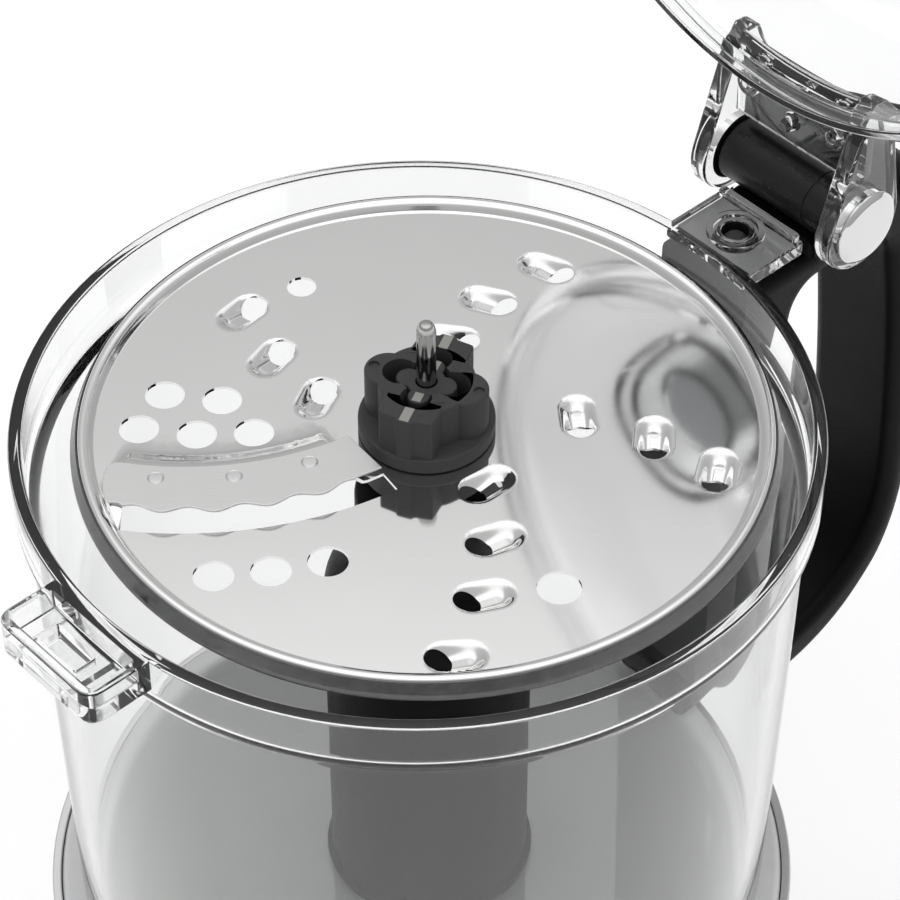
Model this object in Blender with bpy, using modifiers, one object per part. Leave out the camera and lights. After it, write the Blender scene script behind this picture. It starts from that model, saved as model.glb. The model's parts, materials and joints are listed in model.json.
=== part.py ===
"""Food processor: motor base, clear bowl with a hinged lid, and a slicing and shredding disc.

Lengths are written in millimetres and become metres where a mesh is made. The bowl and the base are
drawn about the bowl's axis, and the disc and its drive about the drive's axis, which is a little nearer the
handle. The handle, the hinge and the lid are drawn in a frame that
is turned towards the handle: X outwards, Y along the hinge, Z up from the bowl's rim. The hinge and the
handle stand a little to one side of that frame's middle plane.
"""

import math

import bmesh
import bpy
from mathutils import Vector

MM = 0.001
MERGE = 0.0001
GAP = 0.3

# Driving dimensions.
AXIS_X = -27.0
AXIS_Y = -44.5
RIM_Z = 262.0
HANDLE_AZIMUTH = 42.5
HANDLE_SHIFT = -3.0
DRIVE_OFFSET = (2.0, 1.2)
BOWL_R = 93.0
BOWL_DEPTH = 152.0
BOWL_WALL = 3.2
BAND_DEPTH = 13.0
FOOT_HEIGHT = 6.0
DECK_Z = RIM_Z - BOWL_DEPTH - GAP
HINGE_R = 120.0
HINGE_Z = 5.0
LID_OPEN_ANGLE = 90.0
BARREL_R = 8.0
BARREL_HALF = 17.7
EAR_INNER = 18.2
EAR_OUTER = 23.2
PIN_R = 2.3
HANDLE_HALF = 15.0
MOTOR_Y = 52.0
SHAFT_R = 5.0
PULLEY_R = 36.0
MOTOR_PULLEY_R = 8.0
DISC_R = 81.3
DISC_TOP = -3.3
DISC_SHEET = 0.8
BLADE_RISE = 3.7
BLADE_SHEET = 0.6
HUB_TOP = 12.0
HUB_R = 15.7
ADAPTER_R = 25.0
ADAPTER_NECK_R = 17.0
ADAPTER_PIN_R = 2.25
ADAPTER_PIN_TOP = 28.6
DRIVE_AZIMUTH = -20.0
FEED_CENTRE = (23.0, 35.0)
FEED_HALF = (33.0, 23.0)
FEED_TOP = 95.0
FEED_WALL = 2.5
FEED_EXPONENT = 2.6

# The blade and its slot lie between arcs about this point of the disc.
BLADE_CENTRE = (-54.2, 54.7)
BLADE_REAR_R = 72.0
BLADE_FRONT_R = 85.4
BLADE_WAVE = 0.85
BLADE_WAVE_START = -93.0
BLADE_WAVE_PITCH = 8.15
SLOT_NEAR_R = 82.8
SLOT_FAR_R = 88.8

# Round holes in the disc: radius of the place, azimuth, radius of the hole.
ROUND_HOLES = (
    (61.3, 170.1, 4.6), (47.9, 169.5, 4.6), (65.6, -179.3, 4.6), (52.4, -177.2, 4.6), (39.4, -177.1, 4.6),
    (66.0, -134.6, 4.6), (56.7, -126.6, 4.6), (47.7, -116.7, 4.6), (56.7, 122.0, 3.5), (58.3, -60.1, 5.0),
)
# Shredding scoops: radius of the place and azimuth. Each is pressed down and opens clockwise.
SCOOPS = (
    (58.5, 138.3), (42.9, 147.3), (27.0, 159.3), (61.8, 62.7), (45.5, 71.5), (30.3, 79.7), (34.9, 5.6),
    (51.8, -4.0), (67.1, -12.2), (23.0, -53.9), (38.9, -67.0), (54.5, -76.5), (71.0, -84.7),
)
SCOOP_HALF_LENGTH = 6.6
SCOOP_HALF_WIDTH = 4.1
SCOOP_DEPTH = 3.3
SCOOP_MOUTH_R = 3.2

# Name: colour, roughness, metallic value.
MATERIALS = {
    "clear_plastic": ((0.86, 0.88, 0.88), 0.06, 0.0),
    "black_plastic": ((0.018, 0.018, 0.019), 0.38, 0.0),
    "body_plastic": ((0.82, 0.82, 0.83), 0.22, 0.0),
    "polished_steel": ((0.80, 0.80, 0.79), 0.08, 1.0),
    "chrome": ((0.85, 0.85, 0.85), 0.05, 1.0),
    "brushed_steel": ((0.62, 0.62, 0.61), 0.30, 1.0),
    "rubber": ((0.03, 0.03, 0.03), 0.85, 0.0),
    "grey_plastic": ((0.30, 0.31, 0.32), 0.45, 0.0),
    "motor_steel": ((0.45, 0.45, 0.44), 0.45, 1.0),
    "circuit_board": ((0.03, 0.18, 0.08), 0.55, 0.0),
}


def clear_scene():
    for obj in list(bpy.data.objects):
        bpy.data.objects.remove(obj, do_unlink=True)


def new_collection(name):
    collection = bpy.data.collections.new(name)
    bpy.context.scene.collection.children.link(collection)
    return collection


clear_scene()
PARTS = new_collection("food_processor_parts")
CUTTERS = new_collection("cutters")


def material(name):
    found = bpy.data.materials.get(name)
    if found:
        return found
    colour, roughness, metallic = MATERIALS[name]
    made = bpy.data.materials.new(name)
    made.use_nodes = True
    shader = made.node_tree.nodes["Principled BSDF"]
    shader.inputs["Base Color"].default_value = (*colour, 1.0)
    shader.inputs["Roughness"].default_value = roughness
    shader.inputs["Metallic"].default_value = metallic
    return made


def empty(name, parent=None, at=(0, 0, 0), turn=(0, 0, 0)):
    obj = bpy.data.objects.new(name, None)
    obj.empty_display_size = 0.02
    obj.parent = parent
    obj.location = Vector(at) * MM
    obj.rotation_euler = [math.radians(angle) for angle in turn]
    PARTS.objects.link(obj)
    return obj


def place(name, mesh, look, parent, at=(0, 0, 0), turn=(0, 0, 0)):
    """A node when it has a look, and otherwise a helper that only cuts or joins."""
    obj = bpy.data.objects.new(name, mesh)
    obj.parent = parent
    obj.location = Vector(at) * MM
    obj.rotation_euler = [math.radians(angle) for angle in turn]
    if look:
        PARTS.objects.link(obj)
        mesh.materials.append(material(look))
    else:
        CUTTERS.objects.link(obj)
        obj.hide_render = True
        obj.display_type = "WIRE"
    return obj


def smooth(mesh):
    mesh.shade_smooth()
    mesh.set_sharp_from_angle(angle=math.radians(35))


def turned(name, profile, look, parent, steps=36, at=(0, 0, 0), turn=(0, 0, 0)):
    """A profile of (radius, height) pairs, turned about Z.

    It runs down the outer side. One that starts and ends on the axis is solid, and any other closes.
    """
    mesh = bpy.data.meshes.new(name)
    count = len(profile)
    closes = profile[0][0] > 0 or profile[-1][0] > 0
    edges = [(i, (i + 1) % count) for i in range(count if closes else count - 1)]
    mesh.from_pydata([(r * MM, 0, z * MM) for r, z in profile], edges, [])
    obj = place(name, mesh, look, parent, at, turn)
    screw = obj.modifiers.new("turn", "SCREW")
    screw.steps = steps
    screw.render_steps = steps
    screw.use_merge_vertices = True
    screw.merge_threshold = MERGE
    screw.use_smooth_shade = True
    return obj


def rod(name, radius, low, high, look, parent, steps=16, at=(0, 0, 0), turn=(0, 0, 0)):
    return turned(name, [(0, high), (radius, high), (radius, low), (0, low)], look, parent, steps, at, turn)


def ring(name, outer, inner, low, high, look, parent, steps=24, at=(0, 0, 0), turn=(0, 0, 0)):
    profile = [(outer, high), (outer, low), (inner, low), (inner, high)]
    return turned(name, profile, look, parent, steps, at, turn)


def prism(name, outlines, low, high, look, parent, at=(0, 0, 0), turn=(0, 0, 0), rounding=0.0):
    """A flat outline in X and Y, with any holes after it, made solid from low to high along Z."""
    curve = bpy.data.curves.new(name, "CURVE")
    curve.dimensions = "2D"
    curve.fill_mode = "BOTH"
    curve.extrude = ((high - low) / 2 - rounding) * MM
    curve.bevel_depth = rounding * MM
    curve.bevel_resolution = 1
    curve.offset = -rounding * MM
    for outline in outlines:
        spline = curve.splines.new("POLY")
        spline.points.add(len(outline) - 1)
        spline.use_cyclic_u = True
        for point, (x, y) in zip(spline.points, outline):
            point.co = (x * MM, y * MM, 0, 1)
    guide = bpy.data.objects.new(name + "_outline", curve)
    PARTS.objects.link(guide)
    graph = bpy.context.evaluated_depsgraph_get()
    mesh = bpy.data.meshes.new_from_object(guide.evaluated_get(graph))
    bpy.data.objects.remove(guide)
    mesh.name = name
    mesh.materials.clear()
    solid = bmesh.new()
    solid.from_mesh(mesh)
    bmesh.ops.remove_doubles(solid, verts=solid.verts, dist=MERGE * 0.1)
    bmesh.ops.translate(solid, verts=solid.verts, vec=(0, 0, (low + high) / 2 * MM))
    bmesh.ops.recalc_face_normals(solid, faces=solid.faces)
    solid.to_mesh(mesh)
    solid.free()
    smooth(mesh)
    return place(name, mesh, look, parent, at, turn)


def block(name, low, high, look, parent, bevel=0.0, segments=2, at=(0, 0, 0), turn=(0, 0, 0)):
    """A box between two corners, with rounded edges."""
    mesh = bpy.data.meshes.new(name)
    solid = bmesh.new()
    bmesh.ops.create_cube(solid, size=1.0)
    size = [high[i] - low[i] for i in range(3)]
    middle = [(high[i] + low[i]) / 2 for i in range(3)]
    for vert in solid.verts:
        vert.co = Vector([(vert.co[i] * size[i] + middle[i]) * MM for i in range(3)])
    solid.to_mesh(mesh)
    solid.free()
    obj = place(name, mesh, look, parent, at, turn)
    if bevel:
        rounded = obj.modifiers.new("round", "BEVEL")
        rounded.width = bevel * MM
        rounded.segments = segments
    return obj


def boolean(obj, operation, others, solver):
    for other in others:
        step = obj.modifiers.new(other.name, "BOOLEAN")
        step.operation = operation
        step.solver = solver
        step.object = other
    return obj


def cut(obj, *cutters, solver="EXACT"):
    return boolean(obj, "DIFFERENCE", cutters, solver)


def unite(obj, *others, solver="EXACT"):
    return boolean(obj, "UNION", others, solver)


def polar(radius, azimuth, centre=(0.0, 0.0)):
    angle = math.radians(azimuth)
    return (centre[0] + radius * math.cos(angle), centre[1] + radius * math.sin(angle))


def arc(centre, radius, first, last, count):
    step = (last - first) / (count - 1)
    return [polar(radius, first + step * i, centre) for i in range(count)]


def oval(centre, half, exponent, count, turn=0.0):
    """A superellipse, turned by an angle about its own centre."""
    points = []
    lean = math.radians(turn)
    for i in range(count):
        angle = 2 * math.pi * i / count
        x = half[0] * math.copysign(abs(math.cos(angle)) ** (2 / exponent), math.cos(angle))
        y = half[1] * math.copysign(abs(math.sin(angle)) ** (2 / exponent), math.sin(angle))
        points.append((
            centre[0] + x * math.cos(lean) - y * math.sin(lean),
            centre[1] + x * math.sin(lean) + y * math.cos(lean),
        ))
    return points


def clover(core, lobes, count):
    """The outer outline of a round core and round lobes (distance, azimuth, radius)."""
    points = []
    for i in range(count):
        azimuth = 360 * i / count
        reach = core
        for distance, lobe_azimuth, radius in lobes:
            aside = distance * math.sin(math.radians(azimuth - lobe_azimuth))
            along = distance * math.cos(math.radians(azimuth - lobe_azimuth))
            if abs(aside) < radius and along > 0:
                reach = max(reach, along + math.sqrt(radius ** 2 - aside ** 2))
        points.append(polar(reach, azimuth))
    return points


ROOT = empty("food_processor", at=(AXIS_X, AXIS_Y, 0))
RIM = empty("rim_frame", ROOT, at=(0, 0, RIM_Z))
DRIVE = empty("drive_frame", ROOT, at=(*DRIVE_OFFSET, 0))
DISC_FRAME = empty("disc_frame", DRIVE, at=(0, 0, RIM_Z))
HINGE_FRAME = empty("hinge_frame", RIM, turn=(0, 0, HANDLE_AZIMUTH))
HANDLE_FRAME = empty("handle_frame", HINGE_FRAME, at=(0, HANDLE_SHIFT, 0))
LID_HINGE = empty("lid_hinge", HINGE_FRAME, at=(HINGE_R, 0, HINGE_Z), turn=(0, LID_OPEN_ANGLE, 0))
LID_FRAME = empty("lid_frame", LID_HINGE, at=(-HINGE_R, 0, -HINGE_Z))
LID_SIDE = empty("lid_side", LID_FRAME, at=(0, HANDLE_SHIFT, 0))

# ---------------------------------------------------------------- base

BASE_POINTS = 32
# Height, half width, half depth, middle along Y, squareness.
BASE_SECTIONS = (
    (FOOT_HEIGHT, 99.0, 106.0, 6.0, 3.4),
    (FOOT_HEIGHT + 3, 101.0, 108.5, 6.0, 3.4),
    (48.0, 99.5, 106.0, 6.0, 3.2),
    (80.0, 97.0, 100.0, 3.0, 2.5),
    (96.0, 95.5, 95.5, 0.0, 2.0),
    (96.4, 92.6, 92.6, 0.0, 2.0),
    (DECK_Z - 2.0, 92.6, 92.6, 0.0, 2.0),
    (DECK_Z, 90.6, 90.6, 0.0, 2.0),
)
BASE_INNER = (
    (DECK_Z - 3.0, 88.0, 88.0, 0.0, 2.0),
    (92.0, 90.0, 90.0, 0.0, 2.0),
    (48.0, 96.9, 103.4, 6.0, 3.2),
    (FOOT_HEIGHT, 96.4, 103.4, 6.0, 3.4),
)
BEZEL_LOW_Z = 44.0
BEZEL_HIGH_Z = 74.0
BEZEL_HALF = 44.0
BEZEL_FRONT = -102.0
BEZEL_BACK = -94.0
BUTTON_NAMES = ("button_off", "button_pulse", "button_low", "button_high")
BUTTON_PITCH = 20.0
BUTTON_HALF = (7.6, 6.6)
BUTTON_Z = 59.0
BUTTON_FRONT = -104.0
BUTTON_BACK = -91.0
INLET_Z = 34.0
INLET_Y = 104.0


def base_loft(name, sections, look):
    """A closed skin through level sections, with a flat first and last face."""
    mesh = bpy.data.meshes.new(name)
    solid = bmesh.new()
    rings = []
    for z, half_x, half_y, middle, squareness in sections:
        points = oval((0, middle), (half_x, half_y), squareness, BASE_POINTS)
        rings.append([solid.verts.new((x * MM, y * MM, z * MM)) for x, y in points])
    for lower, upper in zip(rings, rings[1:]):
        for i in range(BASE_POINTS):
            k = (i + 1) % BASE_POINTS
            solid.faces.new((lower[i], lower[k], upper[k], upper[i]))
    solid.faces.new(rings[0])
    solid.faces.new(rings[-1])
    bmesh.ops.recalc_face_normals(solid, faces=solid.faces)
    solid.to_mesh(mesh)
    solid.free()
    smooth(mesh)
    return place(name, mesh, look, ROOT)


def make_base_housing():
    housing = base_loft("base_housing", BASE_SECTIONS, "body_plastic")
    below = FOOT_HEIGHT - 4.0
    hollow_sections = (*BASE_INNER[:-1], (below, *BASE_INNER[-1][1:]))
    hollow = base_loft("base_hollow", hollow_sections, None)
    shaft_hole = rod("shaft_hole", 9.4, DECK_Z - 10, DECK_Z + 10, None, DRIVE)
    window_low = (-BEZEL_HALF - GAP, -120.0, BEZEL_LOW_Z - GAP)
    window_high = (BEZEL_HALF + GAP, -80.0, BEZEL_HIGH_Z + GAP)
    window = block("control_window", window_low, window_high, None, ROOT)
    inlet = rod("inlet_hole", 7.8, -20, 20, None, ROOT, at=(48, INLET_Y, INLET_Z), turn=(90, 0, 0))
    cut(housing, hollow, shaft_hole, window, inlet)
    for i in range(5):
        x = -60 + 12 * i
        slot = block(f"vent_slot_{i}", (x, 90, 22), (x + 4, 125, 50), None, ROOT)
        cut(housing, slot, solver="MANIFOLD")


def make_base_plate():
    outline = oval((0, 6), (95.8, 102.8), 3.4, BASE_POINTS)
    plate = prism("base_plate", [outline], FOOT_HEIGHT, FOOT_HEIGHT + 2.5, "grey_plastic", ROOT)
    screws = [(x, y) for x in (-46, 46) for y in (-70, 84)]
    for i, (x, y) in enumerate(screws, 1):
        cut(plate, rod(f"screw_hole_{i}", 2.1, 0, 12, None, ROOT, 10, at=(x, y, 0)))
        head = [(0, 13), (1.6, 12.4), (1.6, 5.7), (3.6, 5.7), (3.2, 3.6), (0, 3.6)]
        turned(f"base_screw_{i}", head, "brushed_steel", ROOT, 10, at=(x, y, 0))
    feet = [(x, y) for x in (-70, 70) for y in (-66, 80)]
    for i, (x, y) in enumerate(feet, 1):
        pad = [(0, 5.7), (9.5, 5.7), (10, 4.0), (9.4, 0.8), (8.6, 0), (0, 0)]
        turned(f"foot_{i}", pad, "rubber", ROOT, 16, at=(x, y, 0))


def make_trim_ring():
    profile = [(95.2, 108.0), (95.4, 97.0), (92.9, 97.0), (92.9, 108.0)]
    turned("trim_ring", profile, "brushed_steel", ROOT, 32)


def make_controls():
    low = (-BEZEL_HALF, BEZEL_FRONT, BEZEL_LOW_Z)
    high = (BEZEL_HALF, BEZEL_BACK, BEZEL_HIGH_Z)
    bezel = block("control_bezel", low, high, "black_plastic", ROOT, bevel=1.2)
    half_x, half_z = BUTTON_HALF
    for i, name in enumerate(BUTTON_NAMES):
        x = BUTTON_PITCH * (i - 1.5)
        clear = 0.5
        hole_low = (x - half_x - clear, -110, BUTTON_Z - half_z - clear)
        hole_high = (x + half_x + clear, -85, BUTTON_Z + half_z + clear)
        cut(bezel, block(name + "_hole", hole_low, hole_high, None, ROOT))
        button_low = (-half_x, BUTTON_FRONT, -half_z)
        button_high = (half_x, BUTTON_BACK, half_z)
        block(name, button_low, button_high, "brushed_steel", ROOT, bevel=1.4, at=(x, 0, BUTTON_Z))
    block("control_board", (-36, -84, 40), (36, -82.4, 76), "circuit_board", ROOT)


def make_cord_inlet():
    profile = [(10, 13.5), (10, 11.5), (7.5, 11.3), (7.5, 0), (4.2, 0), (4.2, 13.5)]
    turned("cord_inlet", profile, "black_plastic", ROOT, 20, at=(48, INLET_Y, INLET_Z), turn=(-90, 0, 0))


# ---------------------------------------------------------------- drive in the base

PLATE_LOW = 34.0
PLATE_HIGH = 37.0
PULLEY_LOW = 14.0
PULLEY_HIGH = 25.0
MOTOR_R = 33.0
MOTOR_TOP = 92.0
SHAFT_TOP = RIM_Z - 84.0


def make_motor_plate():
    low = (-58, -34, PLATE_LOW)
    high = (58, MOTOR_Y + 38, PLATE_HIGH)
    plate = block("motor_plate", low, high, "motor_steel", ROOT)
    legs = [(x, y) for x in (-58, 50) for y in (-34, MOTOR_Y + 30)]
    for i, (x, y) in enumerate(legs):
        leg = block(f"plate_leg_{i}", (x, y, FOOT_HEIGHT + 2.8), (x + 8, y + 8, PLATE_LOW + 1), None, ROOT)
        unite(plate, leg)
    cut(plate, rod("bearing_seat", 9.3, 30, 40, None, DRIVE))
    cut(plate, rod("motor_shaft_hole", 6.0, 30, 40, None, DRIVE, at=(0, MOTOR_Y, 0)))


def make_motor():
    at = (0, MOTOR_Y, 0)
    wall = 2.5
    low = PLATE_HIGH + GAP
    can = [
        (5, MOTOR_TOP), (MOTOR_R - 3, MOTOR_TOP), (MOTOR_R, MOTOR_TOP - 3), (MOTOR_R, low),
        (MOTOR_R - wall, low), (MOTOR_R - wall, MOTOR_TOP - 4), (MOTOR_R - 4, MOTOR_TOP - wall),
        (5, MOTOR_TOP - wall),
    ]
    turned("motor_can", can, "motor_steel", DRIVE, 28, at=at)
    rotor = [
        (0, 97), (3, 97), (3, 84), (9, 84), (9, 80), (23, 79), (23, 56), (9, 54), (9, 50), (3, 49),
        (3, 12), (0, 12),
    ]
    turned("motor_rotor", rotor, "motor_steel", DRIVE, 16, at=at)
    fan = ring("cooling_fan", 26, 3 + GAP, 39, 40.5, "grey_plastic", DRIVE, 20, at=at)
    for i in range(7):
        turn = (0, 0, 360 / 7 * i)
        blade = block(f"fan_blade_{i}", (9, -0.8, 40), (25, 0.8, 47), None, DRIVE, at=at, turn=turn)
        unite(fan, blade)
    pulley = [
        (9.6, PULLEY_HIGH), (9.6, PULLEY_HIGH - 1), (MOTOR_PULLEY_R, PULLEY_HIGH - 1),
        (MOTOR_PULLEY_R, PULLEY_LOW + 1), (9.6, PULLEY_LOW + 1), (9.6, PULLEY_LOW),
        (3 + GAP, PULLEY_LOW), (3 + GAP, PULLEY_HIGH),
    ]
    turned("motor_pulley", pulley, "brushed_steel", DRIVE, 20, at=at)


def make_belt_and_pulley():
    bore = SHAFT_R + GAP
    pulley = [
        (38, PULLEY_HIGH), (38, PULLEY_HIGH - 1), (PULLEY_R, PULLEY_HIGH - 1), (PULLEY_R, PULLEY_LOW + 1),
        (38, PULLEY_LOW + 1), (38, PULLEY_LOW), (bore, PULLEY_LOW), (bore, 27), (11, 27), (11, 18), (32, 18),
        (32, PULLEY_HIGH),
    ]
    turned("drive_pulley", pulley, "grey_plastic", DRIVE, 24)
    lean = math.degrees(math.asin((PULLEY_R - MOTOR_PULLEY_R) / MOTOR_Y))
    loops = []
    for away in (GAP + 1.6, GAP):
        large = arc((0, 0), PULLEY_R + away, 180 - lean, 360 + lean, 25)
        small = arc((0, MOTOR_Y), MOTOR_PULLEY_R + away, lean, 180 - lean, 8)
        loops.append(large + small)
    prism("drive_belt", loops, PULLEY_LOW + 1.5, PULLEY_HIGH - 1.5, "rubber", DRIVE)


def make_drive_shaft():
    shaft = rod("drive_shaft", SHAFT_R, 11.0, SHAFT_TOP, "brushed_steel", DRIVE, 20)
    for i in range(4):
        flat = block(f"shaft_flat_{i}", (3.9, -8, SHAFT_TOP - 24), (9, 8, SHAFT_TOP + 1), None, DRIVE,
                     turn=(0, 0, 90 * i))
        cut(shaft, flat)
    ring("lower_bearing", 9.0, SHAFT_R + GAP, 32.5, 38.5, "brushed_steel", DRIVE, 20)
    ring("upper_bearing", 9.1, SHAFT_R + GAP, DECK_Z - 8, DECK_Z - 0.5, "brushed_steel", DRIVE, 20)


# ---------------------------------------------------------------- bowl, drawn from its rim

CHIMNEY_R = 13.5
CHIMNEY_BORE = 11.0
CHIMNEY_TOP = -98.0
BAND_STEP_R = 90.3
BOWL_FOOT_R = 87.2
PLATFORM_END = 110.0
PLATFORM_HALF = 13.6
PLATFORM_SHEET = 4.3
WELL_R = 100.5
TRAY_NEAR = -91.0
TRAY_FAR = -108.0
TRAY_HALF = 16.4
TRAY_DEPTH = 9.4
TRAY_WALL = 2.3
RECESS_NEAR = -93.7
RECESS_DEPTH = 5.8
POCKET_LOW = (-104.0, -5.4)
POCKET_HIGH = (-92.0, 12.0)
POCKET_WALL = 2.0
POCKET_DEPTH = 10.5


def bowl_profile():
    floor = -BOWL_DEPTH
    top_inner = BOWL_R - BOWL_WALL
    return [
        (BOWL_R - 0.8, 0), (BOWL_R, -0.8), (BOWL_R, -BAND_DEPTH), (BAND_STEP_R, -BAND_DEPTH - 2.4),
        (BOWL_FOOT_R, floor + 6), (BOWL_FOOT_R - 6, floor), (CHIMNEY_BORE, floor),
        (CHIMNEY_BORE, CHIMNEY_TOP), (CHIMNEY_R, CHIMNEY_TOP), (CHIMNEY_R + 0.5, floor + 3.5),
        (BOWL_FOOT_R - 8, floor + 3.5), (BOWL_FOOT_R - 3.4, floor + 8),
        (BAND_STEP_R - 3.1, -BAND_DEPTH - 3.4), (top_inner, -BAND_DEPTH - 0.5), (top_inner, -0.8),
        (top_inner + 0.8, 0),
    ]


def make_bowl():
    bowl = turned("bowl", bowl_profile(), "clear_plastic", RIM)
    low = (BAND_STEP_R, -PLATFORM_HALF, -PLATFORM_SHEET)
    platform = block("hinge_platform", low, (PLATFORM_END, PLATFORM_HALF, 0), None, HANDLE_FRAME)
    rib_low = (PLATFORM_END - 3, -PLATFORM_HALF + 1, -1)
    rib = block("platform_rib", rib_low, (PLATFORM_END - 0.5, PLATFORM_HALF - 1, 2.0), None, HANDLE_FRAME)
    collar = ring("well_collar", 7.2, 5.4, -1, 0.9, None, HANDLE_FRAME, 20, at=(WELL_R, 0, 0))
    tray_low = (TRAY_FAR, -TRAY_HALF, -TRAY_DEPTH)
    tray = block("latch_tray", tray_low, (TRAY_NEAR, TRAY_HALF, 0), None, HINGE_FRAME, bevel=1.0)
    block_low = (*POCKET_LOW, -POCKET_DEPTH - 1.5)
    pocket_block = block("latch_pocket_block", block_low, (*POCKET_HIGH, 1 - TRAY_DEPTH), None, HINGE_FRAME)
    unite(bowl, platform, rib, collar, tray, pocket_block)
    recess_low = (TRAY_FAR + TRAY_WALL, -TRAY_HALF + TRAY_WALL, -RECESS_DEPTH)
    recess = block("tray_recess", recess_low, (RECESS_NEAR, TRAY_HALF - TRAY_WALL, 5), None, HINGE_FRAME)
    pocket_low = (POCKET_LOW[0] + POCKET_WALL, POCKET_LOW[1] + POCKET_WALL, -POCKET_DEPTH)
    pocket_high = (POCKET_HIGH[0] - 2 * POCKET_WALL, POCKET_HIGH[1] - POCKET_WALL, 0)
    pocket = block("latch_pocket", pocket_low, pocket_high, None, HINGE_FRAME)
    well = rod("plunger_well", 3.6, -10, 5, None, HANDLE_FRAME, 16, at=(WELL_R, 0, 0))
    cut(bowl, recess, pocket, well)


# ---------------------------------------------------------------- handle, hinge and interlock

POCKET_R = 5.2
POCKET_FLOOR = -25.0
HANDLE_TOP_Z = -PLATFORM_SHEET - GAP


def make_handle():
    outside = [
        (78.0, HANDLE_TOP_Z), (110.6, HANDLE_TOP_Z), (111.5, -1.5), (130.0, -0.5), (150.0, -1.0), (158.0, -4.5),
        (162.0, -12.0), (163.5, -40.0), (163.5, -90.0), (161.5, -115.0), (159.0, -127.0), (154.5, -137.5),
        (148.0, -145.0), (140.6, -151.5), (131.0, -156.5), (120.0, -159.5), (106.0, -159.5), (98.5, -151.8),
        (78.0, -151.0),
    ]
    finger_gap = [
        (118.0, -14.5), (112.0, -15.0), (108.5, -19.0), (107.3, -27.0), (104.5, -36.0), (103.0, -60.0),
        (101.5, -100.0), (101.0, -132.0), (103.0, -141.0), (110.0, -146.0), (118.0, -146.0), (126.0, -144.0),
        (133.0, -141.2), (139.5, -137.0), (145.0, -131.5), (149.5, -124.0), (152.0, -113.0), (152.5, -100.0),
        (150.5, -70.0), (147.0, -40.0), (143.5, -22.0), (139.0, -16.0), (130.0, -14.5),
    ]
    handle = prism("bowl_handle", [outside, finger_gap], -HANDLE_HALF, HANDLE_HALF, "black_plastic",
                   HANDLE_FRAME, turn=(90, 0, 0), rounding=3.0)
    far = 120.0
    envelope = [(0, far)] + [(r + GAP, z) for r, z in bowl_profile()[1:6]]
    envelope[1] = (BOWL_R + GAP, far)
    envelope += [(BOWL_FOOT_R - 6 + GAP, -far * 2), (0, -far * 2)]
    bowl_space = turned("bowl_envelope", envelope, None, RIM, 96)
    saddle = rod("barrel_saddle", BARREL_R + GAP, -30, 30, None, HANDLE_FRAME, 24,
                 at=(HINGE_R, 0, HINGE_Z), turn=(90, 0, 0))
    pocket = rod("spring_pocket", POCKET_R, POCKET_FLOOR, 5, None, HANDLE_FRAME, 16, at=(WELL_R, 0, 0))
    cut(handle, bowl_space, saddle, pocket)


def make_hinge():
    at = (HINGE_R, 0, HINGE_Z)
    across = (90, 0, 0)
    ring("hinge_barrel", BARREL_R, PIN_R + GAP, -BARREL_HALF, BARREL_HALF, "black_plastic", HANDLE_FRAME, 24,
         at=at, turn=across)
    rod("hinge_pin", PIN_R, -EAR_OUTER, EAR_OUTER, "chrome", HANDLE_FRAME, 16, at=at, turn=across)
    near = EAR_OUTER + GAP
    cap = [(0, near + 2.6), (5.5, near + 2.4), (8.6, near + 1.5), (9.75, near + 0.4), (9.75, near), (0, near)]
    turned("hinge_cap_right", cap, "chrome", HANDLE_FRAME, 24, at=at, turn=across)
    head = [(0, near + 1.2), (4.2, near + 1.0), (5.2, near + 0.4), (5.2, near), (0, near)]
    turned("hinge_cap_left", head, "chrome", HANDLE_FRAME, 20, at=at, turn=(-90, 0, 0))


def make_interlock():
    at = (WELL_R, 0, 0)
    plunger = [
        (0, -1.0), (2.2, -1.2), (3.2, -2.2), (3.2, -6.0), (4.6, -6.0), (4.6, -8.0), (1.8, -8.0), (1.8, -15.0),
        (0, -15.0),
    ]
    turned("interlock_plunger", plunger, "black_plastic", HANDLE_FRAME, 16, at=at)
    curve = bpy.data.curves.new("interlock_spring", "CURVE")
    curve.dimensions = "3D"
    curve.bevel_depth = 0.45 * MM
    curve.bevel_resolution = 1
    curve.use_fill_caps = True
    turns, per_turn, low, high, radius = 3, 8, POCKET_FLOOR + 1.0, -8.9, 3.6
    spline = curve.splines.new("POLY")
    spline.points.add(turns * per_turn)
    for i, point in enumerate(spline.points):
        x, y = polar(radius, 360 * i / per_turn)
        z = low + (high - low) * i / (turns * per_turn)
        point.co = (x * MM, y * MM, z * MM, 1)
    spring = bpy.data.objects.new("interlock_spring", curve)
    curve.materials.append(material("brushed_steel"))
    spring.parent = HANDLE_FRAME
    spring.location = Vector(at) * MM
    PARTS.objects.link(spring)


# ---------------------------------------------------------------- lid, drawn closed

LID_SHEET_TOP = 16.5
LID_EDGE_R = 93.0
EXTENSION_END = 108.0
LATCH_PIVOT = (-97.0, 8.2)
LATCH_PIN_R = 1.5


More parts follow.
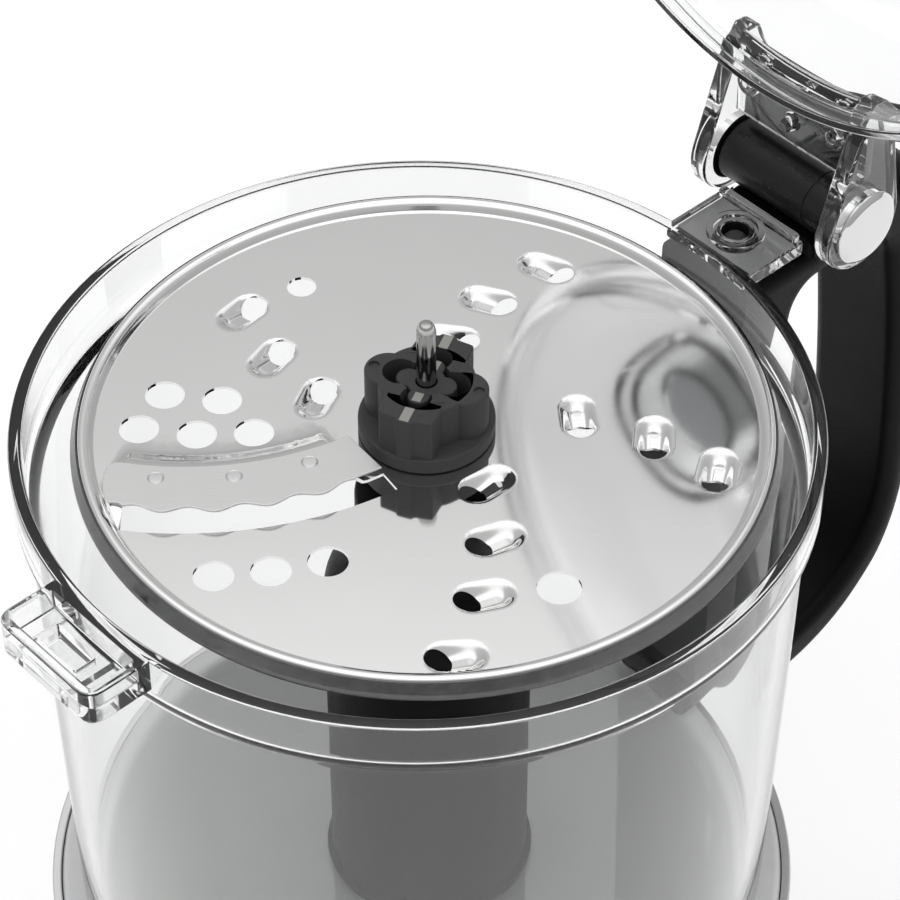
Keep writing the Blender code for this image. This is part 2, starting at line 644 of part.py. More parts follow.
def make_lid():
    profile = [
        (0, 36.0), (10, 35.5), (15.5, 31.5), (17, 20), (22, 18), (72, LID_SHEET_TOP), (88, 4.6),
        (LID_EDGE_R, 2.8), (LID_EDGE_R, GAP), (89.0, GAP), (88.8, -6.5), (86.6, -6.5),
        (86.4, 1.5), (71, 14.0), (22, 15.4), (14.4, 16.5), (13.2, 30), (9, 33.4), (0, 33.4),
    ]
    lid = turned("lid", profile, "clear_plastic", LID_FRAME, 32)
    lean = math.degrees(math.atan2(FEED_CENTRE[1], FEED_CENTRE[0])) + 90
    tube_outline = oval(FEED_CENTRE, FEED_HALF, FEED_EXPONENT, 24, lean)
    inner_half = [half - FEED_WALL for half in FEED_HALF]
    bore_outline = oval(FEED_CENTRE, inner_half, FEED_EXPONENT, 24, lean)
    unite(lid, prism("feed_tube", [tube_outline], 14.2, FEED_TOP, None, LID_FRAME))

    extension = block("hinge_extension", (78, -EAR_INNER - 1, 3.0), (EXTENSION_END, EAR_INNER + 1, 5.6), None,
                      LID_SIDE)
    unite(lid, extension)
    ear = arc((HINGE_R, HINGE_Z), 12.2, -105, 100, 16) + [(86, 12.5), (80, 10.5), (80, 6), (92.5, 1.0)]
    for side in (-1, 1):
        low, high = sorted((side * EAR_INNER, side * EAR_OUTER))
        unite(lid, prism(f"lid_ear_{side}", [ear], -high, -low, None, LID_SIDE, turn=(90, 0, 0)))
        boss = ring(f"ring_boss_{side}", 3.2, 1.6, 1.0, 4.0, None, LID_SIDE, 14, at=(96.5, 13.7 * side, 0))
        unite(lid, boss)
        low, high = sorted((side * 11.2, side * 14.2))
        unite(lid, block(f"latch_lug_{side}", (-101, low, 1.2), (-85, high, 12), None, LID_FRAME))
    unite(lid, turned("actuator_pin", [(0, 4.5), (3.0, 4.5), (1.3, -0.7), (0, -0.7)], None, LID_SIDE, 14,
                      at=(WELL_R, 0, 0)))
    bore = rod("hinge_bore", PIN_R + GAP, -40, 40, None, LID_SIDE, 16, at=(HINGE_R, 0, HINGE_Z),
               turn=(90, 0, 0))
    latch_bore = rod("latch_bore", LATCH_PIN_R + GAP, -20, 20, None, LID_FRAME, 12,
                     at=(LATCH_PIVOT[0], 0, LATCH_PIVOT[1]), turn=(90, 0, 0))
    cut(lid, prism("feed_bore", [bore_outline], -30, 140, None, LID_FRAME), bore, latch_bore)


def make_lid_fittings():
    cover = block("lid_hinge_cover", (90, -17.6, 6.0), (109, 17.6, 9.5), "black_plastic", LID_SIDE, bevel=1.2)
    cut(cover, turned("lid_clearance", [(0, 30), (89, 30), (89, 0), (0, 0)], None, LID_FRAME, 32))
    lever = [
        (-92.2, 5.2), (-92.2, 11.4), (-103, 12.0), (-113, 9.6), (-115, 6.8), (-115, 4.6), (-111, 4.6),
        (-110, 6.6), (-101.6, 6.6), (-101.6, -3.8), (-100.4, -5.2), (-98.6, -5.2), (-98.6, 5.2),
    ]
    latch = prism("lid_latch", [lever], -10.7, 10.7, "grey_plastic", LID_FRAME, turn=(90, 0, 0))
    at = (LATCH_PIVOT[0], 0, LATCH_PIVOT[1])
    cut(latch, rod("lever_bore", LATCH_PIN_R + GAP, -20, 20, None, LID_FRAME, 12, at=at, turn=(90, 0, 0)))
    rod("lid_latch_pin", LATCH_PIN_R, -14.2, 14.2, "chrome", LID_FRAME, 12, at=at, turn=(90, 0, 0))


def make_pushers():
    lean = math.degrees(math.atan2(FEED_CENTRE[1], FEED_CENTRE[0])) + 90
    clear = FEED_WALL + 0.7

    def grown(by):
        return oval(FEED_CENTRE, [half + by for half in FEED_HALF], FEED_EXPONENT, 24, lean)

    top = FEED_TOP + 4.5
    pusher = prism("food_pusher", [grown(-clear)], 18, top, "clear_plastic", LID_FRAME)
    unite(pusher, prism("pusher_flange", [grown(1.5)], FEED_TOP + GAP, top, None, LID_FRAME))
    at = (*FEED_CENTRE, 0)
    cut(pusher, prism("pusher_hollow", [grown(-clear - 2.0)], 20.5, 140, None, LID_FRAME))
    unite(pusher, rod("small_tube", 14.2, 19.0, top - 2, None, LID_FRAME, 20, at=at))
    cut(pusher, rod("small_bore", 12.4, 0, 140, None, LID_FRAME, 20, at=at))
    cup = [
        (0, 20.5), (9.6, 20.5), (9.6, top + 3.5), (16.5, top + 3.5), (16.5, top + 0.5), (11.8, top + 0.5),
        (11.8, 19.5), (11.0, 18.5), (0, 18.5),
    ]
    turned("small_pusher", cup, "grey_plastic", LID_FRAME, 20, at=at)


# ---------------------------------------------------------------- disc and its drive, drawn from the rim


def lobes(distances, radii):
    pairs = zip(distances * 2, radii * 2)
    return [(distance, DRIVE_AZIMUTH + 90 * i, radius) for i, (distance, radius) in enumerate(pairs)]


def make_drive_adapter():
    skirt_top = -22.0
    floor = 3.5 - BOWL_DEPTH + GAP
    neck = ADAPTER_NECK_R
    bore = CHIMNEY_R + 3.6
    profile = [
        (0, skirt_top), (neck - 2, skirt_top), (neck, skirt_top - 2), (neck, -40), (ADAPTER_R, -52),
        (ADAPTER_R, floor + 2), (ADAPTER_R + 1.5, floor), (bore, floor), (bore, CHIMNEY_TOP + 1.5),
        (SHAFT_R + GAP, CHIMNEY_TOP + 1.5), (SHAFT_R + GAP, SHAFT_TOP - RIM_Z + 1), (0, SHAFT_TOP - RIM_Z + 1),
    ]
    adapter = turned("drive_adapter", profile, "black_plastic", DISC_FRAME, 28)
    stem = clover(4.6, lobes((4.2, 5.0), (3.0, 2.6)), 28)
    unite(adapter, prism("adapter_stem", [stem], skirt_top - 2, HUB_TOP - 1.0, None, DISC_FRAME))
    cut(adapter, rod("pin_socket", ADAPTER_PIN_R + GAP, 2, 20, None, DISC_FRAME, 14), solver="MANIFOLD")
    pin = [
        (0, ADAPTER_PIN_TOP), (1.4, ADAPTER_PIN_TOP - 0.4), (ADAPTER_PIN_R, ADAPTER_PIN_TOP - 2),
        (ADAPTER_PIN_R, 2.4), (0, 2.4),
    ]
    turned("adapter_pin", pin, "brushed_steel", DISC_FRAME, 14)


def make_disc_hub():
    low = -14.0
    under = DISC_TOP - DISC_SHEET - GAP
    over = DISC_TOP + GAP
    core = 12.2
    profile = [
        (0, 0.8), (HUB_R - 1, 0.8), (HUB_R, 0), (HUB_R, over), (core, over), (core, under), (HUB_R, under),
        (HUB_R, low + 1), (HUB_R - 1, low), (0, low),
    ]
    hub = turned("disc_hub", profile, "black_plastic", DISC_FRAME, 24)
    outer = clover(11.4, lobes((9.2, 8.6), (5.5, 6.6)), 36)
    unite(hub, prism("hub_lobes", [outer], -0.5, HUB_TOP, None, DISC_FRAME))
    opening = clover(5.6, lobes((6.3, 6.7), (4.1, 3.6)), 28)
    cut(hub, prism("hub_opening", [opening], -30, 30, None, DISC_FRAME), solver="MANIFOLD")


def band(inner, outer, first, last, count):
    """The outline of a band between two arcs about the blade's centre."""
    return (arc(BLADE_CENTRE, inner, first, last, count)
            + arc(BLADE_CENTRE, outer, last, first, count))


def make_disc_plate():
    under = DISC_TOP - DISC_SHEET
    bore = 12.6
    profile = [
        (79.2, -1.9), (80.6, -3.4), (DISC_R, -5.0), (DISC_R, -5.7), (DISC_R - 0.8, -5.7), (79.9, -4.0),
        (78.7, -2.8), (77.9, -2.3), (77.2, -2.7), (75.8, under), (bore, under), (bore, DISC_TOP),
        (75.4, DISC_TOP), (76.8, -1.7), (77.9, -1.2),
    ]
    plate = turned("disc_plate", profile, "polished_steel", DISC_FRAME)
    pad_top = DISC_TOP + BLADE_RISE - GAP
    pad = prism("blade_pad", [band(66.5, 82.4, -101, -61, 9)], under + 0.2, pad_top, None, DISC_FRAME)
    inside = band(67.4, 81.5, -100.3, -61.8, 9)
    hollow = prism("pad_hollow", [inside], -20, pad_top - DISC_SHEET, None, DISC_FRAME)
    opening = band(SLOT_NEAR_R, SLOT_FAR_R, -99.0, -57.5, 9)
    slot = prism("blade_slot", [opening], -20, 10, None, DISC_FRAME)
    unite(plate, pad)
    cut(plate, hollow, slot)
    for i, (radius, azimuth, hole) in enumerate(ROUND_HOLES):
        at = (*polar(radius, azimuth), 0)
        cut(plate, rod(f"round_hole_{i}", hole, -20, 10, None, DISC_FRAME, 10, at=at))
    for i, (radius, azimuth) in enumerate(SCOOPS):
        add_scoop(plate, i, radius, azimuth)


def bowl_shape(name, half_length, half_width, depth, at, turn):
    """The lower half of an ellipsoid, closed by a flat top."""
    mesh = bpy.data.meshes.new(name)
    solid = bmesh.new()
    bmesh.ops.create_uvsphere(solid, u_segments=8, v_segments=4, radius=1.0)
    for vert in solid.verts:
        x, y, z = vert.co
        vert.co = Vector((x * half_width, y * half_length, z * depth)) * MM
    solid.to_mesh(mesh)
    solid.free()
    return place(name, mesh, None, DISC_FRAME, at, turn)


def add_scoop(plate, index, radius, azimuth):
    """A pressed trough along the tangent, open at its clockwise end."""
    x, y = polar(radius, azimuth)
    at = (x, y, DISC_TOP - DISC_SHEET / 2)
    turn = (0, 0, azimuth)
    outer = (SCOOP_HALF_LENGTH, SCOOP_HALF_WIDTH, SCOOP_DEPTH + DISC_SHEET)
    inner = (SCOOP_HALF_LENGTH - DISC_SHEET, SCOOP_HALF_WIDTH - DISC_SHEET, SCOOP_DEPTH)
    outside = bowl_shape(f"scoop_outside_{index}", *outer, at, turn)
    inside = bowl_shape(f"scoop_inside_{index}", *inner, at, turn)
    tip = Vector((x, y)) - Vector(polar(SCOOP_HALF_LENGTH - SCOOP_MOUTH_R + 0.6, azimuth + 90))
    mouth = rod(f"scoop_mouth_{index}", SCOOP_MOUTH_R, -20, 10, None, DISC_FRAME, 8, at=(*tip, 0))
    above = block(f"scoop_above_{index}", (-6, -9, 0.4), (6, 9, 6), None, DISC_FRAME, at=at, turn=turn)
    cut(outside, above)
    unite(plate, outside)
    cut(plate, inside, mouth)


def make_blade():
    rear = arc(BLADE_CENTRE, BLADE_REAR_R, -59.5, -103.5, 10)
    front = []
    count = 26
    for i in range(count):
        azimuth = -100.5 + i * (42.0 / (count - 1))
        inside_wave = BLADE_WAVE_START - 6 < azimuth < BLADE_WAVE_START + 30
        phase = 2 * math.pi * (azimuth - BLADE_WAVE_START) / BLADE_WAVE_PITCH
        wave = BLADE_WAVE * math.cos(phase) if inside_wave else -BLADE_WAVE
        front.append(polar(BLADE_FRONT_R + wave, azimuth, BLADE_CENTRE))
    low = DISC_TOP + BLADE_RISE
    prism("slicing_blade", [rear + front], low, low + BLADE_SHEET, "brushed_steel", DISC_FRAME)


make_base_housing()
make_base_plate()
make_trim_ring()
make_controls()
make_cord_inlet()
make_motor_plate()
make_motor()
make_belt_and_pulley()
make_drive_shaft()
make_bowl()
make_handle()
make_hinge()
make_interlock()
make_lid()
make_lid_fittings()
make_pushers()
make_drive_adapter()
make_disc_hub()
make_disc_plate()
make_blade()
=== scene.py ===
"""Looks of a food processor with a clear bowl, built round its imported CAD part.

Lengths are in millimetres and become metres when a piece is placed. Pieces are drawn in local frames:
ROOT stands on the bowl's axis at the worktop, RIM on the bowl's rim, DRIVE at the rim's height on the
drive's axis, HINGE is RIM turned towards the handle, SIDE is HINGE moved to the handle's own middle, and
LID is the closed lid's frame swung open.
"""

import json
import math

import bmesh
import bpy
from mathutils import Matrix, Vector
from mathutils.geometry import delaunay_2d_cdt, tessellate_polygon


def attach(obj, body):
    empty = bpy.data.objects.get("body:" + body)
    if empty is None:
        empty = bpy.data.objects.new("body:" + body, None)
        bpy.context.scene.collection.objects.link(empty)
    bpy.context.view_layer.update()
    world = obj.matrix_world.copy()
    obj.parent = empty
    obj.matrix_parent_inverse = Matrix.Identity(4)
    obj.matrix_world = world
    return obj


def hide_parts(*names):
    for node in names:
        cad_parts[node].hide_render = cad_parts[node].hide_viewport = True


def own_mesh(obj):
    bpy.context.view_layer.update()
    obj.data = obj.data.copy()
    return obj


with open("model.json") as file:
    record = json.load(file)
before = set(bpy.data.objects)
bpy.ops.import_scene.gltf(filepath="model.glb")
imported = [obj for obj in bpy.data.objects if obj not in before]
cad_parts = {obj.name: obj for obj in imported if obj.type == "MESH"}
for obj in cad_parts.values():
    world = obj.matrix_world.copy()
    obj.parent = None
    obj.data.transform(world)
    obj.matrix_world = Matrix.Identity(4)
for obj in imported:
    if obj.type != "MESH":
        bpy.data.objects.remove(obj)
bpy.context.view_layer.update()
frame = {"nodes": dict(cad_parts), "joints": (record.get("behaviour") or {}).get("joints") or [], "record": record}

MM = 0.001
ROUND_STEPS = 144

JOINTS = {joint["name"]: joint for joint in frame["joints"]}
ACROSS = Vector(JOINTS["lid_swing"]["axis"])
OUTWARD = Vector((ACROSS.y, -ACROSS.x, 0))
HINGE_R = 120.0
HINGE_Z = 5.0
AXIS = Vector(JOINTS["lid_swing"]["pos_m"]) - OUTWARD * HINGE_R * MM - Vector((0, 0, HINGE_Z * MM))
SIDE_SHIFT = -3.0

RIM_R = 93.0
BAND_INNER_R = 89.8
BOWL_DEPTH = 152.0
BAND_DEPTH = 13.0
PLATFORM_END = 110.0
PLATFORM_HALF = 13.6
DISC_TOP = -3.3
DISC_SHEET = 0.8
DISC_FLAT_R = 75.6
BLADE_CENTRE = (-54.2, 54.7)
PAD_RISE = 3.4
SLOT_NEAR_R = 82.8
SLOT_FAR_R = 88.8
DRIVE_AZIMUTH = -20.0
FEED_CENTRE = (23.0, 35.0)
FEED_LEAN = math.degrees(math.atan2(FEED_CENTRE[1], FEED_CENTRE[0])) + 90
WELL_R = 100.5
TRAY_FAR = -108.0
TRAY_HALF = 16.4
TRAY_DEPTH = 9.4
WELL_HOLE_R = 3.7
BARREL_R = 8.0
BARREL_HALF = 17.7
HINGE_BORE_R = 2.6
EAR_INNER = 18.2
EAR_OUTER = 23.2
LUG_INNER = 11.2
LUG_OUTER = 14.2
LATCH_PIVOT = (-97, 8.2)
FEED_HALF = (33, 23)
FEED_WALL = 2.5
FEED_EXPONENT = 2.6


def shift(x, y, z):
    return Matrix.Translation(Vector((x, y, z)) * MM)


RIM = Matrix.Translation(AXIS)
DRIVE = Matrix.Translation(JOINTS["adapter_spin"]["pos_m"])
ROOT = Matrix.Translation((AXIS.x, AXIS.y, 0))
HINGE = RIM @ Matrix.Rotation(math.atan2(OUTWARD.y, OUTWARD.x), 4, "Z")
SIDE = HINGE @ shift(0, SIDE_SHIFT, 0)
LID_SWING = Matrix.Rotation(math.pi / 2, 4, "Y")
LID = HINGE @ shift(HINGE_R, 0, HINGE_Z) @ LID_SWING @ shift(-HINGE_R, 0, -HINGE_Z)
UPRIGHT = Matrix.Rotation(math.pi / 2, 4, "X")

# ---------------------------------------------------------------- outlines


def polar(radius, azimuth, centre=(0.0, 0.0)):
    angle = math.radians(azimuth)
    return (centre[0] + radius * math.cos(angle), centre[1] + radius * math.sin(angle))


def arc(centre, radius, first, last, count):
    step = (last - first) / (count - 1)
    return [polar(radius, first + step * i, centre) for i in range(count)]


def circle(centre, radius, count):
    return [polar(radius, 360 * i / count, centre) for i in range(count)]


def oval(centre, half, exponent, count, turn=0.0):
    """A superellipse, turned by an angle about its own centre."""
    points = []
    lean = math.radians(turn)
    for i in range(count):
        angle = 2 * math.pi * i / count
        x = half[0] * math.copysign(abs(math.cos(angle)) ** (2 / exponent), math.cos(angle))
        y = half[1] * math.copysign(abs(math.sin(angle)) ** (2 / exponent), math.sin(angle))
        points.append((
            centre[0] + x * math.cos(lean) - y * math.sin(lean),
            centre[1] + x * math.sin(lean) + y * math.cos(lean),
        ))
    return points


def soften(points, steps=5):
    """Rounds the corners of a closed outline: a third value says how far from the corner to start."""
    softened = []
    count = len(points)
    for i, point in enumerate(points):
        corner = Vector(point[:2])
        if len(point) < 3:
            softened.append(tuple(corner))
            continue
        back = Vector(points[i - 1][:2]) - corner
        ahead = Vector(points[(i + 1) % count][:2]) - corner
        reach = min(point[2], 0.49 * back.length, 0.49 * ahead.length)
        start = corner + back.normalized() * reach
        end = corner + ahead.normalized() * reach
        for k in range(steps + 1):
            t = k / steps
            softened.append(tuple(start * (1 - t) ** 2 + corner * 2 * t * (1 - t) + end * t ** 2))
    return softened


def rounded(points, reach, steps=5):
    return soften([(x, y, reach) for x, y in points], steps)


def area(outline):
    following = outline[1:] + outline[:1]
    return sum(a[0] * b[1] - a[1] * b[0] for a, b in zip(outline, following)) / 2


def inset(outline, by):
    """Moves an outline to its own left, which is into the material."""
    moved = []
    count = len(outline)
    for i, point in enumerate(outline):
        here = Vector(point)
        back = (here - Vector(outline[i - 1])).normalized()
        ahead = (Vector(outline[(i + 1) % count]) - here).normalized()
        left = Vector((-back.y, back.x))
        next_left = Vector((-ahead.y, ahead.x))
        moved.append(tuple(here + (left + next_left) * by / max(1 + left.dot(next_left), 0.5)))
    return moved


# ---------------------------------------------------------------- solids, in millimetres


def solid(name, points, faces):
    mesh = bpy.data.meshes.new(name)
    mesh.from_pydata(points, [], faces)
    shape = bmesh.new()
    shape.from_mesh(mesh)
    bmesh.ops.remove_doubles(shape, verts=shape.verts, dist=1e-5)
    bmesh.ops.recalc_face_normals(shape, faces=shape.faces)
    shape.to_mesh(mesh)
    shape.free()
    obj = bpy.data.objects.new(name, mesh)
    bpy.context.scene.collection.objects.link(obj)
    return obj


def lathe(name, profile, steps=ROUND_STEPS):
    """A closed profile of (radius, height) turned about Z. Points on the axis become poles."""
    points = []
    rings = []
    for radius, z in profile:
        if radius < 1e-6:
            rings.append([len(points)] * steps)
            points.append((0, 0, z))
        else:
            rings.append(list(range(len(points), len(points) + steps)))
            points += [(*polar(radius, 360 * i / steps), z) for i in range(steps)]
    faces = []
    for a, b in zip(rings, rings[1:] + rings[:1]):
        for i in range(steps):
            k = (i + 1) % steps
            corners = list(dict.fromkeys((a[i], a[k], b[k], b[i])))
            if len(corners) > 2:
                faces.append(corners)
    return solid(name, points, faces)


def rod(name, radius, low, high, steps=64):
    """A plain cylinder along Z, to cut a hole with."""
    return lathe(name, [(0, high), (radius, high), (radius, low), (0, low)], steps)


def prism(name, outlines, low, high, rounding=0.0, steps=4):
    """A flat outline, with any holes after it, made solid along Z with rounded edges."""
    turned = [line if (area(line) > 0) == (i == 0) else line[::-1] for i, line in enumerate(outlines)]
    layers = [(rounding, low), (rounding, high)]
    if rounding:
        quarter = [math.pi / 2 * k / steps for k in range(steps + 1)]
        lower = [(rounding * (1 - math.sin(a)), low + rounding * (1 - math.cos(a))) for a in quarter]
        layers = lower + [(by, low + high - z) for by, z in reversed(lower)]
    points = []
    faces = []
    for by, z in layers:
        for line in turned:
            points += [(x, y, z) for x, y in inset(line, by)]
    per_layer = sum(len(line) for line in turned)
    for layer in range(len(layers) - 1):
        start = layer * per_layer
        for line in turned:
            count = len(line)
            for i in range(count):
                k = (i + 1) % count
                faces.append((start + i, start + k, start + k + per_layer, start + i + per_layer))
            start += count
    flat = [[Vector((x, y, 0)) for x, y in inset(line, rounding)] for line in turned]
    top = (len(layers) - 1) * per_layer
    for triangle in tessellate_polygon(flat):
        faces.append(triangle)
        faces.append([top + i for i in reversed(triangle)])
    return solid(name, points, faces)


def block(name, low, high, bevel=0.0, segments=3):
    corners = [(x, y, z) for x in (low[0], high[0]) for y in (low[1], high[1]) for z in (low[2], high[2])]
    faces = [(0, 1, 3, 2), (4, 6, 7, 5), (0, 4, 5, 1), (2, 3, 7, 6), (0, 2, 6, 4), (1, 5, 7, 3)]
    obj = solid(name, corners, faces)
    if bevel:
        shape = bmesh.new()
        shape.from_mesh(obj.data)
        bmesh.ops.bevel(shape, geom=shape.edges[:], offset=bevel, segments=segments, profile=0.5,
                        affect="EDGES", clamp_overlap=True)
        shape.to_mesh(obj.data)
        shape.free()
    return obj


def moved(obj, matrix=None, at=(0, 0, 0)):
    """Moves a solid's points, by a turn and then by a distance in millimetres."""
    obj.data.transform(Matrix.Translation(at) @ (matrix or Matrix.Identity(4)))
    return obj


def bake(obj):
    """Replaces an object's mesh with what its modifiers make of it."""
    graph = bpy.context.evaluated_depsgraph_get()
    made = bpy.data.meshes.new_from_object(obj.evaluated_get(graph))
    obj.modifiers.clear()
    obj.data = made
    return obj


def combine(obj, operation, others):
    for other in others:
        step = obj.modifiers.new(other.name, "BOOLEAN")
        step.operation = operation
        step.solver = "EXACT"
        step.object = other
    bake(obj)
    for other in others:
        bpy.data.objects.remove(other)
    return obj


def unite(obj, *others):
    return combine(obj, "UNION", others)


def cut(obj, *others):
    return combine(obj, "DIFFERENCE", others)


def join(obj, *others):
    """Puts other meshes in with obj's, without a Boolean."""
    shape = bmesh.new()
    for one in (obj, *others):
        shape.from_mesh(one.data)
    shape.to_mesh(obj.data)
    shape.free()
    for other in others:
        bpy.data.objects.remove(other)
    return obj


# ---------------------------------------------------------------- materials


def add_node(tree, kind, **values):
    node = tree.nodes.new(kind)
    for key, value in values.items():
        setattr(node, key, value)
    return node


def make_look(name, colour, roughness, metallic=0.0, grain=600.0, stretch=(1, 1, 1), spread=0.3,
              bump=0.0, tint=0.06, **sockets):
    """A shader whose colour, roughness and surface vary with noise fixed to the object."""
    made = bpy.data.materials.new(name)
    made.use_nodes = True
    tree = made.node_tree
    shader = tree.nodes["Principled BSDF"]
    shader.inputs["Metallic"].default_value = metallic
    for socket, value in sockets.items():
        shader.inputs[socket.replace("_", " ")].default_value = value
    place = add_node(tree, "ShaderNodeTexCoord")
    scale = add_node(tree, "ShaderNodeMapping")
    scale.inputs["Scale"].default_value = [grain * s for s in stretch]
    noise = add_node(tree, "ShaderNodeTexNoise")
    noise.inputs["Scale"].default_value = 1.0
    noise.inputs["Detail"].default_value = 3.0
    tree.links.new(place.outputs["Object"], scale.inputs["Vector"])
    tree.links.new(scale.outputs["Vector"], noise.inputs["Vector"])
    ramp = add_node(tree, "ShaderNodeMapRange")
    ramp.inputs["From Min"].default_value = 0.25
    ramp.inputs["From Max"].default_value = 0.75
    ramp.inputs["To Min"].default_value = roughness * (1 - spread)
    ramp.inputs["To Max"].default_value = roughness * (1 + spread)
    tree.links.new(noise.outputs["Fac"], ramp.inputs["Value"])
    tree.links.new(ramp.outputs["Result"], shader.inputs["Roughness"])
    shades = add_node(tree, "ShaderNodeValToRGB")
    shades.color_ramp.elements[0].position = 0.3
    shades.color_ramp.elements[1].position = 0.7
    shades.color_ramp.elements[0].color = (*[c * (1 - tint) for c in colour], 1)
    shades.color_ramp.elements[1].color = (*[min(1, c * (1 + tint)) for c in colour], 1)
    tree.links.new(noise.outputs["Fac"], shades.inputs["Fac"])
    tree.links.new(shades.outputs["Color"], shader.inputs["Base Color"])
    if bump:
        relief = add_node(tree, "ShaderNodeBump")
        relief.inputs["Strength"].default_value = 1.0
        relief.inputs["Distance"].default_value = bump * MM
        tree.links.new(noise.outputs["Fac"], relief.inputs["Height"])
        tree.links.new(relief.outputs["Normal"], shader.inputs["Normal"])
    return made


LOOKS = {
    "clear_plastic": make_look("clear_plastic", (0.985, 0.99, 0.99), 0.012, grain=60, tint=0.004,
                               Transmission_Weight=0.996, IOR=1.49),
    "black_plastic": make_look("black_plastic", (0.009, 0.009, 0.0095), 0.34, grain=1800, bump=0.006,
                               IOR=1.5, Specular_IOR_Level=0.33),
    "body_plastic": make_look("body_plastic", (0.82, 0.82, 0.83), 0.22, grain=300, tint=0.01, IOR=1.5),
    "polished_steel": make_look("polished_steel", (0.86, 0.86, 0.855), 0.07, 1.0, grain=40, tint=0.01),
    "chrome": make_look("chrome", (0.72, 0.72, 0.72), 0.08, 1.0, grain=80, tint=0.01),
    "brushed_steel": make_look("brushed_steel", (0.74, 0.74, 0.735), 0.34, 1.0, grain=2500,
                               stretch=(0.06, 1, 1), bump=0.0006, spread=0.15, tint=0.015),
    "rubber": make_look("rubber", (0.03, 0.03, 0.03), 0.8, grain=1500, bump=0.03),
    "grey_plastic": make_look("grey_plastic", (0.30, 0.31, 0.32), 0.42, grain=1200, bump=0.006),
    "motor_steel": make_look("motor_steel", (0.45, 0.45, 0.44), 0.42, 1.0, grain=900, bump=0.01),
    "circuit_board": make_look("circuit_board", (0.03, 0.18, 0.08), 0.5, grain=500, tint=0.2),
}
STRIPE = make_look("drive_mark", (0.33, 0.32, 0.30), 0.45, grain=900, tint=0.03)
# A darker, less glossy copy of black_plastic: painted shade, for the handle's face that reflects dark
# surroundings. The drive adapter uses it too.
BLACK_PLASTIC_PAINTED_SHADE = make_look("black_plastic_painted_shade", (0.0035, 0.0035, 0.0038), 0.42, grain=1800, bump=0.006,
                 Specular_IOR_Level=0.09)
HUB = make_look("hub_plastic", (0.062, 0.062, 0.063), 0.5, grain=2600, bump=0.014, tint=0.14,
                Specular_IOR_Level=0.16)
# Dark steel for a band round the disc's rim: painted dark reflection, standing in for the dark surroundings the
# polished rim reflects.
RIM_PAINTED_REFLECTION = make_look("rim_painted_reflection_steel", (0.13, 0.13, 0.13), 0.16, 1.0, grain=300, tint=0.05)
PIN = make_look("pin_steel", (0.46, 0.46, 0.455), 0.11, 1.0, grain=900, stretch=(1, 1, 0.05), tint=0.05)
PAD = make_look("platform_pad", (0.46, 0.46, 0.46), 0.5, grain=900, tint=0.05)

BODY_MEMBERS = frame["record"]["behaviour"]["bodies"]
NODE_BODY = {node: body for body, members in BODY_MEMBERS.items() for node in members}
NODE_SLOT = {entry["node"]: entry["material_slot"] for entry in frame["record"]["subparts"]}


def finish(obj, where, node, replaced=True, look=None, slot=None, sharp=34):
    """Places a piece drawn in millimetres, and gives it its material and its CAD node's body."""
    obj.data.transform(where @ Matrix.Scale(MM, 4))
    slot = slot or NODE_SLOT[node]
    obj.data.materials.clear()
    obj.data.materials.append(look or LOOKS[slot])
    obj.data.shade_smooth()
    obj.data.set_sharp_from_angle(angle=math.radians(sharp))
    flat = obj.modifiers.new("flat_faces", "WEIGHTED_NORMAL")
    flat.keep_sharp = True
    bake(obj)
    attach(obj, NODE_BODY[node])
    if replaced:
        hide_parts(node)
    return obj


# ---------------------------------------------------------------- bowl


